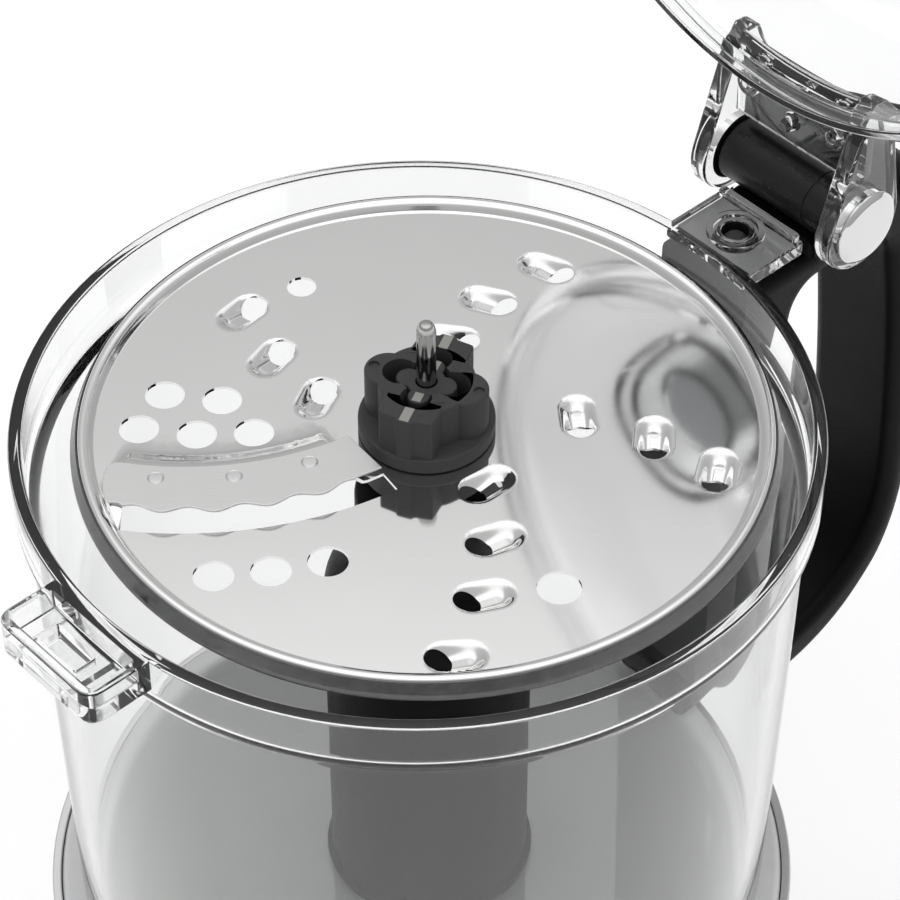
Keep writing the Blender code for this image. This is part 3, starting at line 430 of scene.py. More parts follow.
def make_bowl():
    profile = soften([
        (RIM_R, 0.0, 0.9), (RIM_R, -BAND_DEPTH, 1.3), (90.4, -BAND_DEPTH - 2.7, 2.6),
        (87.1, -BOWL_DEPTH, 8.0), (11.0, -BOWL_DEPTH, 0.6), (11.0, -98.0, 0.8), (13.5, -98.0, 0.8),
        (14.0, -148.5, 2.5), (83.7, -148.5, 7.0), (87.2, -BAND_DEPTH - 3.6, 2.6),
        (BAND_INNER_R, -BAND_DEPTH - 0.5, 2.6), (BAND_INNER_R, 0.0, 0.9),
    ])
    bowl = lathe("bowl_shell", profile)
    side = Matrix.Rotation(math.atan2(OUTWARD.y, OUTWARD.x), 4, "Z")
    platform = block("platform", (90.6, -PLATFORM_HALF, -4.3), (PLATFORM_END, PLATFORM_HALF, 0.0), 0.7)
    rib_half = PLATFORM_HALF - 1.0
    rib = block("platform_rib", (PLATFORM_END - 2.8, -rib_half, -1.0),
                (PLATFORM_END - 0.4, rib_half, 2.0), 0.6)
    collar = lathe("collar", soften([(7.2, 0.9, 0.4), (7.2, -1.0), (5.4, -1.0), (5.4, 0.9, 0.4)]), 48)
    lip = lathe("well_lip", soften([(4.6, 0.45, 0.3), (4.6, -1.0), (3.3, -1.0), (3.3, 0.45, 0.3)]), 48)
    outline = soften([
        (-91.0, -TRAY_HALF), (-91.0, TRAY_HALF), (TRAY_FAR, TRAY_HALF, 4.5), (TRAY_FAR, -TRAY_HALF, 4.5),
    ])
    tray = prism("tray", [outline], -TRAY_DEPTH, 0.0, 0.7)
    pocket_block = block("pocket_block", (-104.0, -5.4, -12.0), (-92.0, 12.0, -6.8), 0.6)
    brace = [(-91.5, -1.5), (-98.0, -1.5), (-97.0, -6.0), (-91.5, -13.0)]
    gusset = prism("gusset", [brace], 11.8, 14.0, 0.3)
    for piece in (platform, rib):
        moved(piece, side @ Matrix.Translation((0, SIDE_SHIFT, 0)))
    for piece in (collar, lip):
        moved(piece, side @ Matrix.Translation((WELL_R, SIDE_SHIFT, 0)))
    for piece in (tray, pocket_block):
        moved(piece, side)
    moved(gusset, side @ UPRIGHT)
    unite(bowl, platform, rib, collar, lip, tray, pocket_block, gusset)
    recess = block("recess", (-105.7, -14.1, -5.8), (-93.7, 14.1, 5.0), 0.6)
    pocket = block("pocket", (-102.0, -3.4, -10.5), (-96.0, 10.0, -3.0), 0.5)
    well = rod("well", WELL_HOLE_R, -10, 5)
    moved(recess, side)
    moved(pocket, side)
    moved(well, side @ Matrix.Translation((WELL_R, SIDE_SHIFT, 0)))
    cut(bowl, recess, pocket, well)
    finish(bowl, RIM, "bowl")
    far = PLATFORM_END - 0.7
    half = PLATFORM_HALF - 0.7
    backing = [(93.8, -half), (far, -half), (far, half), (93.8, half)]
    sheet = prism("platform_pad", [backing, circle((WELL_R, 0), 5.6, 64)], -4.5, -4.4)
    finish(sheet, SIDE, "bowl", replaced=False, look=PAD, slot="grey_plastic")
    outer = WELL_HOLE_R - 0.1
    inner = outer - 0.25
    wall = soften([(outer, 0.2, 0.15), (outer, -5.4), (inner, -5.4), (inner, 0.2, 0.15)])
    liner = lathe("well_liner", wall, 64)
    finish(liner, SIDE @ shift(WELL_R, 0, 0), "bowl", replaced=False, slot="black_plastic")


# ---------------------------------------------------------------- handle, hinge and interlock


def make_handle():
    outside = soften([
        (78.0, -4.6), (110.8, -4.6), (111.6, -1.5, 0.8), (130.0, -0.5, 8), (150.0, -1.0, 6), (158.0, -4.5, 5),
        (162.0, -12.0, 9), (163.5, -40.0, 14), (163.5, -90.0, 14), (161.5, -115.0, 8), (159.0, -127.0, 7),
        (154.5, -137.5, 6), (148.0, -145.0, 6), (140.6, -151.5, 6), (131.0, -156.5, 6), (120.0, -159.5, 6),
        (106.0, -159.5, 6), (98.5, -151.8, 4), (78.0, -151.0),
    ])
    finger_gap = soften([
        (118.0, -14.5, 4), (112.0, -15.0, 3), (108.5, -19.0, 3), (107.3, -27.0, 5), (104.5, -36.0, 6),
        (103.0, -60.0, 14), (101.5, -100.0, 14), (101.0, -132.0, 8), (103.0, -141.0, 4), (110.0, -146.0, 4),
        (118.0, -146.0, 5), (126.0, -144.0, 4), (133.0, -141.2, 4), (139.5, -137.0, 4), (145.0, -131.5, 4),
        (149.5, -124.0, 5), (152.0, -113.0, 7), (152.5, -100.0, 10), (150.5, -70.0, 15), (147.0, -40.0, 12),
        (143.5, -22.0, 6), (139.0, -16.0, 4), (130.0, -14.5, 5),
    ])
    handle = moved(prism("handle_loop", [outside, finger_gap], -15.0, 15.0, 4.4, 6), UPRIGHT)
    gap = 0.3
    envelope = [
        (0, 120), (RIM_R + gap, 120), (RIM_R + gap, -BAND_DEPTH), (90.3 + gap, -BAND_DEPTH - 2.4),
        (87.2 + gap, 6 - BOWL_DEPTH), (81.2 + gap, -BOWL_DEPTH), (81.2 + gap, -240), (0, -240),
    ]
    bowl_space = moved(lathe("bowl_space", envelope, 192), at=(0, -SIDE_SHIFT, 0))
    saddle = moved(rod("saddle", BARREL_R + gap, -30, 30), UPRIGHT, (HINGE_R, 0, HINGE_Z))
    pocket = moved(rod("spring_space", 5.2, -25, 5, 48), at=(WELL_R, 0, 0))
    cut(handle, bowl_space, saddle, pocket)
    # The handle gets the darker copy of black plastic: painted shade.
    finish(handle, SIDE, "bowl_handle", look=BLACK_PLASTIC_PAINTED_SHADE)


def make_hinge():
    at = SIDE @ shift(HINGE_R, 0, HINGE_Z) @ UPRIGHT
    seam = 10.0
    barrel = soften([
        (BARREL_R, BARREL_HALF, 0.6), (BARREL_R, seam + 0.3, 0.25), (7.7, seam + 0.2), (7.7, seam - 0.2),
        (BARREL_R, seam - 0.3, 0.25), (BARREL_R, -BARREL_HALF, 0.6),
        (HINGE_BORE_R, -BARREL_HALF, 0.4), (HINGE_BORE_R, BARREL_HALF, 0.4),
    ])
    finish(lathe("barrel", barrel, 96), at, "hinge_barrel")
    pin = soften([(0, EAR_OUTER), (2.3, EAR_OUTER, 0.4), (2.3, -EAR_OUTER, 0.4), (0, -EAR_OUTER)])
    finish(lathe("pin", pin, 48), at, "hinge_pin")
    near = 23.5
    cap = soften([
        (0, near + 2.6), (5.4, near + 2.45, 1.2), (8.3, near + 1.9, 1.4), (9.75, near + 0.7, 0.6),
        (9.75, near, 0.3), (0, near),
    ])
    finish(lathe("right_cap", cap, 96), at, "hinge_cap_right")
    head = soften([(0, near + 1.2), (4.2, near + 1.05, 0.8), (5.2, near + 0.4, 0.4), (5.2, near), (0, near)])
    finish(moved(lathe("left_cap", head, 64), Matrix.Rotation(math.pi, 4, "X")), at, "hinge_cap_left")


def make_interlock():
    at = SIDE @ shift(WELL_R, 0, 0)
    plunger = soften([
        (0, -1.0), (2.0, -1.1, 0.8), (3.2, -2.4, 0.9), (3.2, -6.0, 0.2), (4.6, -6.0, 0.3), (4.6, -8.0, 0.3),
        (1.8, -8.0), (1.8, -15.0, 0.4), (0, -15.0),
    ])
    finish(lathe("plunger", plunger, 48), at, "interlock_plunger", look=HUB)


SPRING_SEAT = -24.45
SPRING_TOP = -8.45
SPRING_WIRE = 0.45
SPRING_TURNS = 3


def make_spring():
    """A coil of wire round the plunger, from its seat up to the plunger."""
    curve = bpy.data.curves.new("spring_path", "CURVE")
    curve.dimensions = "3D"
    curve.bevel_depth = SPRING_WIRE
    curve.bevel_resolution = 3
    curve.use_fill_caps = True
    steps = 24 * SPRING_TURNS
    spline = curve.splines.new("POLY")
    spline.points.add(steps)
    length = SPRING_TOP - SPRING_SEAT
    for i, point in enumerate(spline.points):
        height = SPRING_SEAT + SPRING_WIRE + (length - 2 * SPRING_WIRE) * i / steps
        point.co = (*polar(3.6, 360 * SPRING_TURNS * i / steps), height, 1)
    path = bpy.data.objects.new("spring_path", curve)
    bpy.context.scene.collection.objects.link(path)
    coil = path.evaluated_get(bpy.context.evaluated_depsgraph_get())
    spring = bpy.data.objects.new("spring", bpy.data.meshes.new_from_object(coil))
    bpy.context.scene.collection.objects.link(spring)
    bpy.data.objects.remove(path)
    at = SIDE @ shift(WELL_R, 0, 0)
    finish(spring, at, "interlock_spring")
    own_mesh(spring)


# ---------------------------------------------------------------- lid, drawn closed


def feed_outline(by):
    """The feed tube's outline, grown by a distance."""
    return oval(FEED_CENTRE, (FEED_HALF[0] + by, FEED_HALF[1] + by), FEED_EXPONENT, 96, FEED_LEAN)


def latch_bore():
    """The space for the latch's pin, to be cut from the lid's lugs and from the lever."""
    return moved(rod("latch_bore", 1.8, -20, 20, 32), UPRIGHT, (LATCH_PIVOT[0], 0, LATCH_PIVOT[1]))


def make_lid():
    profile = soften([
        (0, 36.0), (10, 35.5, 4), (15.5, 31.5, 4), (17, 19.5, 3), (22, 18, 3), (72, 16.5, 9), (88, 4.6, 6),
        (RIM_R, 2.8, 1.5), (RIM_R, 0.3, 0.5), (89.0, 0.3, 0.4), (88.8, -6.5, 0.6), (86.6, -6.5, 0.6),
        (86.4, 1.5, 4), (71, 14.0, 9), (22, 15.4, 3), (14.4, 16.8, 3), (13.2, 30, 3), (9, 33.4, 3), (0, 33.4),
    ])
    lid = lathe("lid_shell", profile)
    tube = prism("feed_tube", [feed_outline(0)], 14.2, 95.0, 0.8)
    edge = SIDE_SHIFT
    extension = block("extension", (84.5, -19.2 + edge, 3.0), (108.0, 19.2 + edge, 5.6), 0.7)
    parts = [tube, extension]
    ear = soften([(85.5, 6), (85.5, 10.5, 3), (92, 12.8, 4)]
                 + [(x, z) for x, z in arc((HINGE_R, HINGE_Z), 12.2, 100, -105, 40)] + [(92.5, 1.0, 3)])
    for side in (-1, 1):
        low, high = sorted((-side * EAR_INNER, -side * EAR_OUTER))
        parts.append(moved(prism("ear", [ear], low, high, 0.8), UPRIGHT, (0, edge, 0)))
        boss = lathe("boss", soften([(3.2, 4), (3.2, 1.0, 0.4), (1.6, 1.0, 0.4), (1.6, 4)]), 40)
        parts.append(moved(boss, at=(96.5, 13.7 * side + edge, 0)))
        low, high = sorted((side * LUG_INNER, side * LUG_OUTER))
        parts.append(block("lug", (-101, low, 1.2), (-85.5, high, 12), 0.8))
    pin = lathe("actuator", soften([(0, 4.5), (3.0, 4.5), (1.4, -0.7, 0.5), (0, -0.7)]), 40)
    parts.append(moved(pin, at=(WELL_R, edge, 0)))
    unite(lid, *parts)
    hinge_bore = moved(rod("hinge_bore", 9.1, -40, 40, 96), UPRIGHT, (HINGE_R, 0, HINGE_Z))
    feed_bore = prism("feed_bore", [feed_outline(-FEED_WALL)], -30, 140)
    cut(lid, feed_bore, hinge_bore, latch_bore())
    finish(lid, LID, "lid")


def make_lid_fittings():
    for side, name in ((-1, "ear_bush_right"), (1, "ear_bush_left")):
        low, high = sorted((side * (EAR_INNER + 0.05), side * (EAR_OUTER - 0.1)))
        profile = soften([(9.0, high, 0.3), (9.0, low, 0.3), (HINGE_BORE_R, low), (HINGE_BORE_R, high)])
        bush = moved(lathe(name, profile, 96), Matrix.Rotation(-math.pi / 2, 4, "X"),
                     (HINGE_R, SIDE_SHIFT, HINGE_Z))
        finish(bush, LID, "lid", replaced=False, slot="black_plastic")
    cover = block("cover", (90, -17.6 + SIDE_SHIFT, 6.0), (109, 17.6 + SIDE_SHIFT, 9.5), 1.2)
    cut(cover, rod("lid_space", 89.4, 0, 30, ROUND_STEPS))
    finish(cover, LID, "lid_hinge_cover")
    lever = soften([
        (-92.2, 5.2, 0.6), (-92.2, 11.4, 1.5), (-103, 12.0, 3), (-113, 9.6, 3), (-115, 6.8, 1.2),
        (-115, 4.6, 0.6), (-111, 4.6, 0.6), (-110, 6.6, 1.0), (-101.6, 6.6, 0.8), (-101.6, -3.8, 0.5),
        (-100.4, -5.2, 0.5), (-98.6, -5.2, 0.5), (-98.6, 5.2, 0.8),
    ])
    half = LUG_INNER - 0.5
    latch = moved(prism("latch_lever", [lever], -half, half, 0.6), UPRIGHT)
    cut(latch, latch_bore())
    finish(latch, LID, "lid_latch")
    pin = soften([(0, LUG_OUTER), (1.5, LUG_OUTER, 0.4), (1.5, -LUG_OUTER, 0.4), (0, -LUG_OUTER)])
    at = LID @ shift(LATCH_PIVOT[0], 0, LATCH_PIVOT[1]) @ UPRIGHT
    finish(lathe("latch_pin", pin, 32), at, "lid_latch_pin")


def make_pushers():
    pusher = prism("pusher_body", [feed_outline(-3.2)], 18, 99.5, 1.0)
    unite(pusher, prism("pusher_flange", [feed_outline(1.5)], 95.3, 99.5, 1.2))
    hollow = prism("pusher_hollow", [feed_outline(-5.2)], 20.5, 140, 0.8)
    cut(pusher, hollow)
    sleeve = soften([(14.2, 97.5, 0.6), (14.2, 19.0), (11.5, 19.0), (11.5, 97.5, 0.6)])
    unite(pusher, moved(lathe("small_tube", sleeve, 64), at=(*FEED_CENTRE, 0)))
    cut(pusher, moved(rod("small_bore", 12.4, 0, 140), at=(*FEED_CENTRE, 0)))
    finish(pusher, LID, "food_pusher")
    cup = soften([
        (0, 20.5), (9.6, 20.5, 2), (9.6, 103.0, 0.6), (16.5, 103.0, 1.2), (16.5, 100.0, 0.8),
        (11.8, 100.0, 0.8), (11.8, 19.5, 0.8), (11.0, 18.5, 0.6), (0, 18.5),
    ])
    finish(lathe("cup", cup, 96), LID @ shift(*FEED_CENTRE, 0), "small_pusher")


# ---------------------------------------------------------------- disc and its drive

ROUND_HOLES = (
    (61.3, 170.1, 4.6), (47.9, 169.5, 4.6), (65.6, -179.3, 4.6), (52.4, -177.2, 4.6), (39.4, -177.1, 4.6),
    (66.0, -134.6, 4.6), (56.7, -126.6, 4.6), (47.7, -116.7, 4.6), (56.7, 122.0, 3.5), (58.3, -60.1, 5.0),
)
SCOOPS = (
    (58.5, 138.3), (42.9, 147.3), (27.0, 159.3), (61.8, 62.7), (45.5, 71.5), (30.3, 79.7), (34.9, 5.6),
    (51.8, -4.0), (67.1, -12.2), (23.0, -53.9), (38.9, -67.0), (54.5, -76.5), (71.0, -84.7),
)
MOUTH_U = -3.9
MOUTH_R = 3.1
TROUGH_W = 4.5
TROUGH_DEPTH = 2.9
TROUGH_START = -2.6
TROUGH_END = 2.8
HUB_HOLE_R = 12.6
SLOT_FIRST = -99.0
SLOT_LAST = -57.5


def smoothstep(value):
    t = min(max(value, 0.0), 1.0)
    return t * t * (3 - 2 * t)


def trough(u, v):
    """Depth of a scoop's pressed trough, a round-ended groove, at a place along and across it."""
    nearest = min(max(u, TROUGH_START), TROUGH_END)
    fall = smoothstep((TROUGH_W - math.hypot(u - nearest, v)) / (0.72 * TROUGH_W))
    slope = (nearest - TROUGH_START) / (TROUGH_END - TROUGH_START)
    return TROUGH_DEPTH * fall * (1 - 0.35 * slope)


def in_slot(place, margin=0.0):
    """Whether a place is inside the opening in front of the blade, grown by a margin."""
    offset = place - Vector(BLADE_CENTRE)
    azimuth = math.degrees(math.atan2(offset.y, offset.x))
    return (SLOT_NEAR_R - margin < offset.length < SLOT_FAR_R + margin
            and SLOT_FIRST - margin < azimuth < SLOT_LAST + margin)


def disc_height(x, y, frames):
    height = DISC_TOP
    for centre, along, outward in frames:
        offset = Vector((x, y)) - centre
        if offset.length < 9:
            height -= trough(offset.dot(along), offset.dot(outward))
    from_blade = Vector((x, y)) - Vector(BLADE_CENTRE)
    radius = from_blade.length
    azimuth = math.degrees(math.atan2(from_blade.y, from_blade.x))
    ramp = smoothstep((radius - 61.5) / 11.0) * smoothstep((SLOT_FAR_R - radius) / 5.5)
    ends = smoothstep((azimuth + 104) / 3.4) * smoothstep((-60.6 - azimuth) / 2.6)
    return height + PAD_RISE * ramp * ends


def disc_points(frames):
    """Places across the plate, closest together where the sheet is shaped."""
    points = []
    for centre, along, outward in frames:
        for i in range(-18, 20):
            for k in range(-12, 13):
                u, v = 0.42 * i, 0.42 * k
                clear = (u - MOUTH_U) ** 2 + v ** 2 > (MOUTH_R + 0.15) ** 2
                if clear:
                    points.append(centre + along * u + outward * v)
    for i in range(17):
        for k in range(90):
            points.append(Vector(polar(62.5 + 1.2 * i, -105 + 0.5 * k, BLADE_CENTRE)))
    for i in range(-16, 17):
        for k in range(-16, 17):
            points.append(Vector((5.0 * i + 0.13, 5.0 * k + 0.07)))
    return [p for p in points if HUB_HOLE_R + 0.5 < p.length < DISC_FLAT_R - 0.4]


def make_disc_plate():
    frames = []
    for radius, azimuth in SCOOPS:
        outward = Vector(polar(1, azimuth))
        frames.append((Vector(polar(radius, azimuth)), Vector(polar(1, azimuth + 90)), outward))
    holes = [(Vector(polar(radius, azimuth)), size) for radius, azimuth, size in ROUND_HOLES]
    holes += [(centre + along * MOUTH_U, MOUTH_R) for centre, along, _ in frames]
    holes.append((Vector((0, 0)), HUB_HOLE_R))
    slot = arc(BLADE_CENTRE, SLOT_NEAR_R, SLOT_FIRST, SLOT_LAST, 60)
    slot += arc(BLADE_CENTRE, SLOT_FAR_R, SLOT_LAST, SLOT_FIRST, 60)
    lines = [circle((0, 0), DISC_FLAT_R, 288), slot]
    lines += [circle(centre, size, 96 if size > 10 else 48) for centre, size in holes]
    places = []
    edges = []
    for line in lines:
        start = len(places)
        places += [Vector(p) for p in line]
        edges += [(start + i, start + (i + 1) % len(line)) for i in range(len(line))]
    clear = []
    for p in disc_points(frames):
        if not in_slot(p, 0.3) and all((p - centre).length > size + 0.15 for centre, size in holes):
            clear.append(p)
    made = delaunay_2d_cdt(places + clear, edges, [], 0, 1e-4)
    points = [(p.x, p.y, disc_height(p.x, p.y, frames)) for p in made[0]]
    faces = []
    for face in made[2]:
        middle = sum((made[0][i] for i in face), Vector((0, 0))) / len(face)
        in_hole = in_slot(middle) or any((middle - centre).length <= size for centre, size in holes)
        if middle.length < DISC_FLAT_R and not in_hole:
            faces.append(face)
    plate = bpy.data.objects.new("plate", bpy.data.meshes.new("plate"))
    plate.data.from_pydata(points, [], faces)
    bpy.context.scene.collection.objects.link(plate)
    thick = plate.modifiers.new("thick", "SOLIDIFY")
    thick.thickness = DISC_SHEET
    thick.offset = -1
    bake(plate)
    under = DISC_TOP - DISC_SHEET
    rim = lathe("plate_rim", soften([
        (DISC_FLAT_R, DISC_TOP), (76.0, DISC_TOP, 0.4), (77.0, -1.3, 1.2), (79.2, -0.9, 1.2),
        (80.9, -5.0, 0.6), (80.9, -5.6), (80.5, -5.6), (80.4, -5.0, 0.4), (78.7, -1.9, 1.2),
        (77.6, -2.1, 0.8), (76.7, under, 0.5), (DISC_FLAT_R, under),
    ]), 288)
    finish(join(plate, rim), DRIVE, "disc_plate", sharp=40)
    # A band of darker steel laid over the rim's outer wall: painted dark reflection, not a different metal on the
    # real plate.
    painted_reflection_band = lathe("plate_painted_reflection_band", soften([
        (79.5, -1.5), (79.9, -1.6, 0.4), (81.3, -4.6, 0.9), (81.3, -5.7, 0.2), (80.5, -5.7, 0.1),
        (80.5, -5.5), (81.0, -5.5), (81.0, -4.9),
    ]), 288)
    finish(painted_reflection_band, DRIVE, "disc_plate", replaced=False, look=RIM_PAINTED_REFLECTION, slot="polished_steel")


def make_blade():
    rear = arc(BLADE_CENTRE, 72.0, -59.5, -101.5, 60)
    corner = ((72.5, -102.6), (74.0, -103.4), (76.0, -103.5), (78.5, -103.2), (81.5, -102.5))
    end = [polar(radius, azimuth, BLADE_CENTRE) for radius, azimuth in corner]
    front = []
    count = 160
    for i in range(count):
        azimuth = -101.5 + i * (43.0 / (count - 1))
        within = smoothstep((azimuth + 99.5) / 1.0) * smoothstep((-62.5 - azimuth) / 1.0)
        wave = 0.85 * math.cos(2 * math.pi * (azimuth + 93.0) / 8.15)
        front.append(polar(85.4 - 0.85 + within * (0.85 + wave), azimuth, BLADE_CENTRE))
    low = DISC_TOP + 3.7
    blade = prism("blade", [rear + end + front], low, low + 0.6, 0.12, 2)
    dimple = soften([
        (0, 0.12), (1.5, 0.12, 0.1), (1.62, 0.0), (1.8, 0.14, 0.05), (1.95, 0.0), (1.95, -0.3), (0, -0.3),
    ])
    welds = []
    for azimuth in (-94.6, -81.4, -68.3):
        at = (*polar(75.9, azimuth, BLADE_CENTRE), low + 0.6)
        welds.append(moved(lathe("weld", dimple, 40), at=at))
    finish(join(blade, *welds), DRIVE, "slicing_blade", sharp=20)


def make_marks(name, node, distance, half, bottom, top, edge):
    """Two light strips on opposite lobes, sunk in their tops and standing a hair proud."""
    turn = Matrix.Rotation(math.radians(DRIVE_AZIMUTH), 4, "Z")
    strips = []
    for side in (-1, 1):
        low = (-half[0], distance * side - half[1], bottom)
        high = (half[0], distance * side + half[1], top)
        strips.append(moved(block("mark", low, high, edge), turn))
    marks = finish(join(*strips), DRIVE, node, replaced=False, look=STRIPE, slot="grey_plastic")
    marks.name = name


def make_hub():
    low, high = -14.0, 12.0
    under = DISC_TOP - DISC_SHEET - 0.3
    over = DISC_TOP + 0.3
    hub = lathe("hub_body", soften([
        (0, 0.8), (15.7, 0.8, 0.8), (15.7, over, 0.3), (12.2, over), (12.2, under), (15.7, under, 0.3),
        (15.7, low, 0.8), (0, low),
    ]), 96)
    turn = Matrix.Rotation(math.radians(DRIVE_AZIMUTH), 4, "Z")
    core = prism("hub_core", [circle((0, 0), 11.2, 72)], -0.5, high, 0.6)
    parts = [core]
    lobe = rounded([
        (7.0, 7.0), (6.4, 13.9), (2.2, 14.5), (1.8, 15.3),
        (-1.8, 15.3), (-2.2, 14.5), (-6.4, 13.9), (-7.0, 7.0),
    ], 0.6)
    for side in (-1, 1):
        parts.append(moved(prism("round_lobe", [circle((9.2 * side, 0), 5.5, 64)], -0.5, high, 0.6), turn))
        facing = Matrix.Rotation(math.pi / 2 * (1 - side), 4, "Z")
        parts.append(moved(prism("square_lobe", [lobe], -0.5, high, 0.5), turn @ facing))
    unite(hub, *parts)
    cutters = []
    shape = [circle((0, 0), 5.6, 48), circle((6.3, 0), 4.1, 48), circle((-6.3, 0), 4.1, 48),
             circle((0, 6.7), 3.6, 48), circle((0, -6.7), 3.6, 48)]
    for line in shape:
        cutters.append(moved(prism("opening", [line], -30, 30), turn))
    for side in (-1, 1):
        cutters.append(moved(prism("dimple", [circle((12.6 * side, 0), 1.3, 32)], high - 0.6, 30), turn))
    cut(hub, *cutters)
    finish(hub, DRIVE, "disc_hub", look=HUB)
    make_marks("hub_marks", "disc_hub", 12.7, (1.2, 2.3), high - 0.35, high + 0.02, 0.15)


def make_adapter():
    skirt_top = -22.0
    floor = 3.8 - BOWL_DEPTH
    adapter = lathe("adapter_skirt", soften([
        (0, skirt_top), (17, skirt_top, 2.5), (17, -40, 5), (25, -52, 5), (25, floor + 2, 1.5),
        (26.5, floor, 0.5), (17.1, floor), (17.1, -96.5, 0.5), (5.3, -96.5), (5.3, -83.0), (0, -83.0),
    ]), 96)
    turn = Matrix.Rotation(math.radians(DRIVE_AZIMUTH), 4, "Z")
    stem = [prism("stem", [circle((0, 0), 4.6, 48)], skirt_top, 11.0, 0.5)]
    for x, y, radius in ((4.2, 0, 3.0), (-4.2, 0, 3.0), (0, 5.0, 2.6), (0, -5.0, 2.6)):
        stem.append(prism("stem_lobe", [circle((x, y), radius, 40)], skirt_top, 11.0, 0.5))
    # The adapter's skirt gets the darker copy of black plastic, which is painted shade.
    finish(adapter, DRIVE, "drive_adapter", look=BLACK_PLASTIC_PAINTED_SHADE)
    core = moved(stem[0], turn)
    unite(core, *[moved(piece, turn) for piece in stem[1:]])
    cut(core, prism("pin_socket", [circle((0, 0), 2.55, 40)], 2, 20))
    finish(core, DRIVE, "drive_adapter", replaced=False, look=HUB)
    make_marks("stem_marks", "drive_adapter", 5.6, (1.1, 1.5), 10.7, 11.02, 0.12)
    pin = soften([
        (0, 28.6), (1.6, 28.5, 0.9), (2.25, 26.6, 0.9), (2.25, 2.4), (0, 2.4),
    ])
    finish(lathe("pin_top", pin, 48), DRIVE, "adapter_pin", look=PIN)


# ---------------------------------------------------------------- base

DECK_Z = AXIS.z / MM - BOWL_DEPTH - 0.3
INLET_AT = (48, 104, 34)
BEZEL_HALF = 44.0
BEZEL_LOW = 44.0
BEZEL_HIGH = 74.0
# Height, half width, half depth, middle along Y, squareness.
BASE_SECTIONS = (
    (6.0, 99.0, 106.0, 6.0, 3.4), (9.0, 101.0, 108.5, 6.0, 3.4), (48.0, 99.5, 106.0, 6.0, 3.2),
    (80.0, 97.0, 100.0, 3.0, 2.5), (95.6, 95.6, 95.6, 0.0, 2.0), (96.4, 94.6, 94.6, 0.0, 2.0),
    (96.5, 92.6, 92.6, 0.0, 2.0), (DECK_Z - 2.0, 92.6, 92.6, 0.0, 2.0), (DECK_Z - 0.6, 92.0, 92.0, 0.0, 2.0),
    (DECK_Z, 90.6, 90.6, 0.0, 2.0),
)
BASE_INNER = (
    (2.0, 96.4, 103.4, 6.0, 3.4), (48.0, 96.9, 103.4, 6.0, 3.2), (80.0, 93.5, 97.0, 3.0, 2.5),
    (92.0, 90.0, 90.0, 0.0, 2.0), (DECK_Z - 3.0, 88.0, 88.0, 0.0, 2.0),
)


def blended(sections, steps):
    """More sections between those given, through a smooth curve."""
    count = len(sections)
    found = []
    for i in range(count - 1):
        around = [sections[min(max(k, 0), count - 1)] for k in (i - 1, i, i + 1, i + 2)]
        gap = sections[i + 1][0] - sections[i][0]
        fine = steps if gap > 10 else 1
        for k in range(fine):
            t = k / fine
            if fine == 1:
                found.append(sections[i])
                continue
            values = []
            for a, b, c, d in zip(*around):
                before = around[1][0] - around[0][0] or gap
                after = around[3][0] - around[2][0] or gap
                slope_in = (c - a) / (before + gap)
                slope_out = (d - b) / (after + gap)
                values.append((2 * t ** 3 - 3 * t ** 2 + 1) * b + (t ** 3 - 2 * t ** 2 + t) * gap * slope_in
                              + (3 * t ** 2 - 2 * t ** 3) * c + (t ** 3 - t ** 2) * gap * slope_out)
            found.append(tuple(values))
    return found + [sections[-1]]


def loft(name, sections, count=128):
    points = []
    faces = []
    for z, half_x, half_y, middle, squareness in sections:
        points += [(x, y, z) for x, y in oval((0, middle), (half_x, half_y), squareness, count)]
    for layer in range(len(sections) - 1):
        for i in range(count):
            a = layer * count + i
            b = layer * count + (i + 1) % count
            faces.append((a, b, b + count, a + count))
    faces.append(range(count))
    faces.append(range(len(points) - count, len(points)))
    return solid(name, points, faces)


def make_base():
    housing = loft("housing", blended(BASE_SECTIONS, 8))
    hollow = loft("hollow", BASE_INNER)
    shaft_hole = moved(rod("shaft_hole", 9.4, 90, 140), at=(DRIVE.translation - RIM.translation) / MM)
    low, high = BEZEL_LOW - 0.3, BEZEL_HIGH + 0.3
    window = block("window", (-BEZEL_HALF - 0.3, -120.0, low), (BEZEL_HALF + 0.3, -80.0, high), 1.0)
    inlet = moved(rod("inlet_space", 7.8, -20, 20, 48), UPRIGHT, INLET_AT)
    slots = []
    for i in range(5):
        x = -60 + 12 * i
        outline = rounded([(x, 22), (x + 4, 22), (x + 4, 50), (x, 50)], 2.0)
        slots.append(moved(prism("vent", [outline], -125, -90), UPRIGHT))
    cut(housing, hollow, shaft_hole, window, inlet, *slots)
    finish(housing, ROOT, "base_housing")
    trim = soften([(95.2, 108.0, 0.5), (95.4, 97.0, 0.5), (92.9, 97.0), (92.9, 108.0, 0.5)])
    finish(lathe("trim", trim, 192), ROOT, "trim_ring")
    inlet_profile = soften([
        (10, 13.5, 1.0), (10, 11.5, 0.5), (7.5, 11.3), (7.5, 0, 0.5), (4.2, 0, 0.5), (4.2, 13.5, 0.8),
    ])
    at = ROOT @ shift(*INLET_AT) @ Matrix.Rotation(-math.pi / 2, 4, "X")
    finish(lathe("inlet", inlet_profile, 48), at, "cord_inlet")
    pad = soften([
        (0, 5.7), (9.5, 5.7, 0.4), (10, 4.0, 0.6), (9.2, 0.0, 0.9), (5, 0, 0.3), (4.6, 0.6, 0.3), (0, 0.6),
    ])
    for i, (x, y) in enumerate([(x, y) for x in (-70, 70) for y in (-66, 80)], 1):
        finish(lathe(f"pad_{i}", pad, 48), ROOT @ shift(x, y, 0), f"foot_{i}")


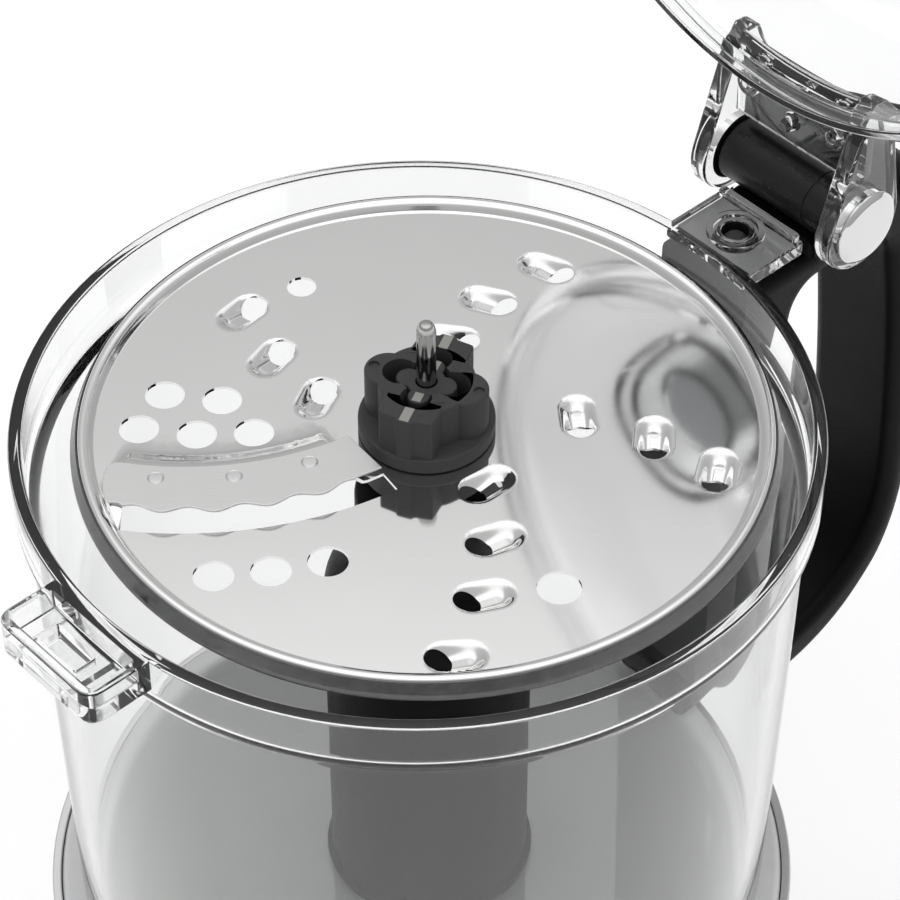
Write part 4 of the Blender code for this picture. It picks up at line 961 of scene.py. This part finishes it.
def button_icon(name):
    """Cutters for a plain mark on a button: a ring, a dot, one bar or three bars."""
    if name == "button_off":
        return [prism("icon", [circle((0, 0), 3.2, 40), circle((0, 0), 2.4, 40)], -1, 1)]
    if name == "button_pulse":
        return [prism("icon", [circle((0, 0), 1.7, 40)], -1, 1)]
    count = 1 if name == "button_low" else 3
    first = -1.6 * (count - 1) / 2
    bars = []
    for i in range(count):
        x = first + 1.6 * i
        outline = rounded([(x - 0.4, -2.6), (x + 0.4, -2.6), (x + 0.4, 2.6), (x - 0.4, 2.6)], 0.3)
        bars.append(prism("icon", [outline], -1, 1))
    return bars


def make_controls():
    middle = (BEZEL_LOW + BEZEL_HIGH) / 2
    bezel = block("bezel", (-BEZEL_HALF, -102.0, BEZEL_LOW), (BEZEL_HALF, -94.0, BEZEL_HIGH), 1.2)
    names = ("button_off", "button_pulse", "button_low", "button_high")
    holes = []
    for i, name in enumerate(names):
        x = 20.0 * (i - 1.5)
        holes.append(block("hole", (x - 8.1, -110, middle - 7.1), (x + 8.1, -85, middle + 7.1), 0.8))
        button = block(name + "_cap", (-7.6, -104.0, -6.6), (7.6, -91.0, 6.6), 1.4, 4)
        icons = [moved(icon, UPRIGHT, (0, -104.65, 0)) for icon in button_icon(name)]
        cut(button, *icons)
        finish(button, ROOT @ shift(x, 0, middle), name)
    cut(bezel, *holes)
    finish(bezel, ROOT, "control_bezel")


# ---------------------------------------------------------------- everything

make_bowl()
make_handle()
make_hinge()
make_interlock()
make_spring()
make_lid()
make_lid_fittings()
make_pushers()
make_disc_plate()
make_blade()
make_hub()
make_adapter()
make_base()
make_controls()

for node_name, node in frame["nodes"].items():
    node.data.materials.clear()
    node.data.materials.append(LOOKS[NODE_SLOT[node_name]])

# ---------------------------------------------------------------- studio and camera

FLOOR_SIZE = 80.0


def make_floor():
    mesh = bpy.data.meshes.new("studio_floor")
    half = FLOOR_SIZE / 2
    corners = [(-half, -half, 0), (half, -half, 0), (half, half, 0), (-half, half, 0)]
    mesh.from_pydata(corners, [], [(0, 1, 2, 3)])
    floor = bpy.data.objects.new("studio_floor", mesh)
    bpy.context.scene.collection.objects.link(floor)
    white = (0.90, 0.90, 0.90)
    floor.data.materials.append(make_look("studio_white", white, 0.7, grain=8, tint=0.005,
                                          Emission_Color=(1, 1, 1, 1), Emission_Strength=0.27))


def make_world():
    """A plain studio: dim at the horizon and bright overhead."""
    world = bpy.data.worlds.new("studio")
    world.use_nodes = True
    tree = world.node_tree
    place = add_node(tree, "ShaderNodeTexCoord")
    parts = add_node(tree, "ShaderNodeSeparateXYZ")
    ramp = add_node(tree, "ShaderNodeValToRGB")
    tree.links.new(place.outputs["Generated"], parts.inputs["Vector"])
    tree.links.new(parts.outputs["Z"], ramp.inputs["Fac"])
    # Sine of the elevation, and brightness.
    stops = ((0.0, 0.42), (0.30, 0.50), (0.62, 0.56), (0.70, 0.70), (0.76, 0.98), (1.0, 1.5))
    elements = ramp.color_ramp.elements
    while len(elements) < len(stops):
        elements.new(0.5)
    for element, (position, value) in zip(elements, stops):
        element.position = position
        element.color = (value, value, value, 1)
    background = tree.nodes["Background"]
    tree.links.new(ramp.outputs["Color"], background.inputs["Color"])
    background.inputs["Strength"].default_value = 1.0
    bpy.context.scene.world = world


def make_camera():
    data = bpy.data.cameras.new("camera")
    data.lens = 136.5
    data.sensor_width = 36
    data.clip_start = 0.01
    camera = bpy.data.objects.new("camera", data)
    bpy.context.scene.collection.objects.link(camera)
    direction = Vector((0, 0.7163, -0.6978))
    stand = AXIS + Vector((7.29, -560.05, 536.03)) * MM
    facing = direction.to_track_quat("-Z", "Y").to_matrix().to_4x4()
    camera.matrix_world = Matrix.Translation(stand) @ facing
    bpy.context.scene.camera = camera


make_floor()
make_world()
make_camera()
scene = bpy.context.scene
scene.view_settings.view_transform = "Standard"
scene.cycles.max_bounces = 24
scene.cycles.transmission_bounces = 24
scene.cycles.transparent_max_bounces = 16
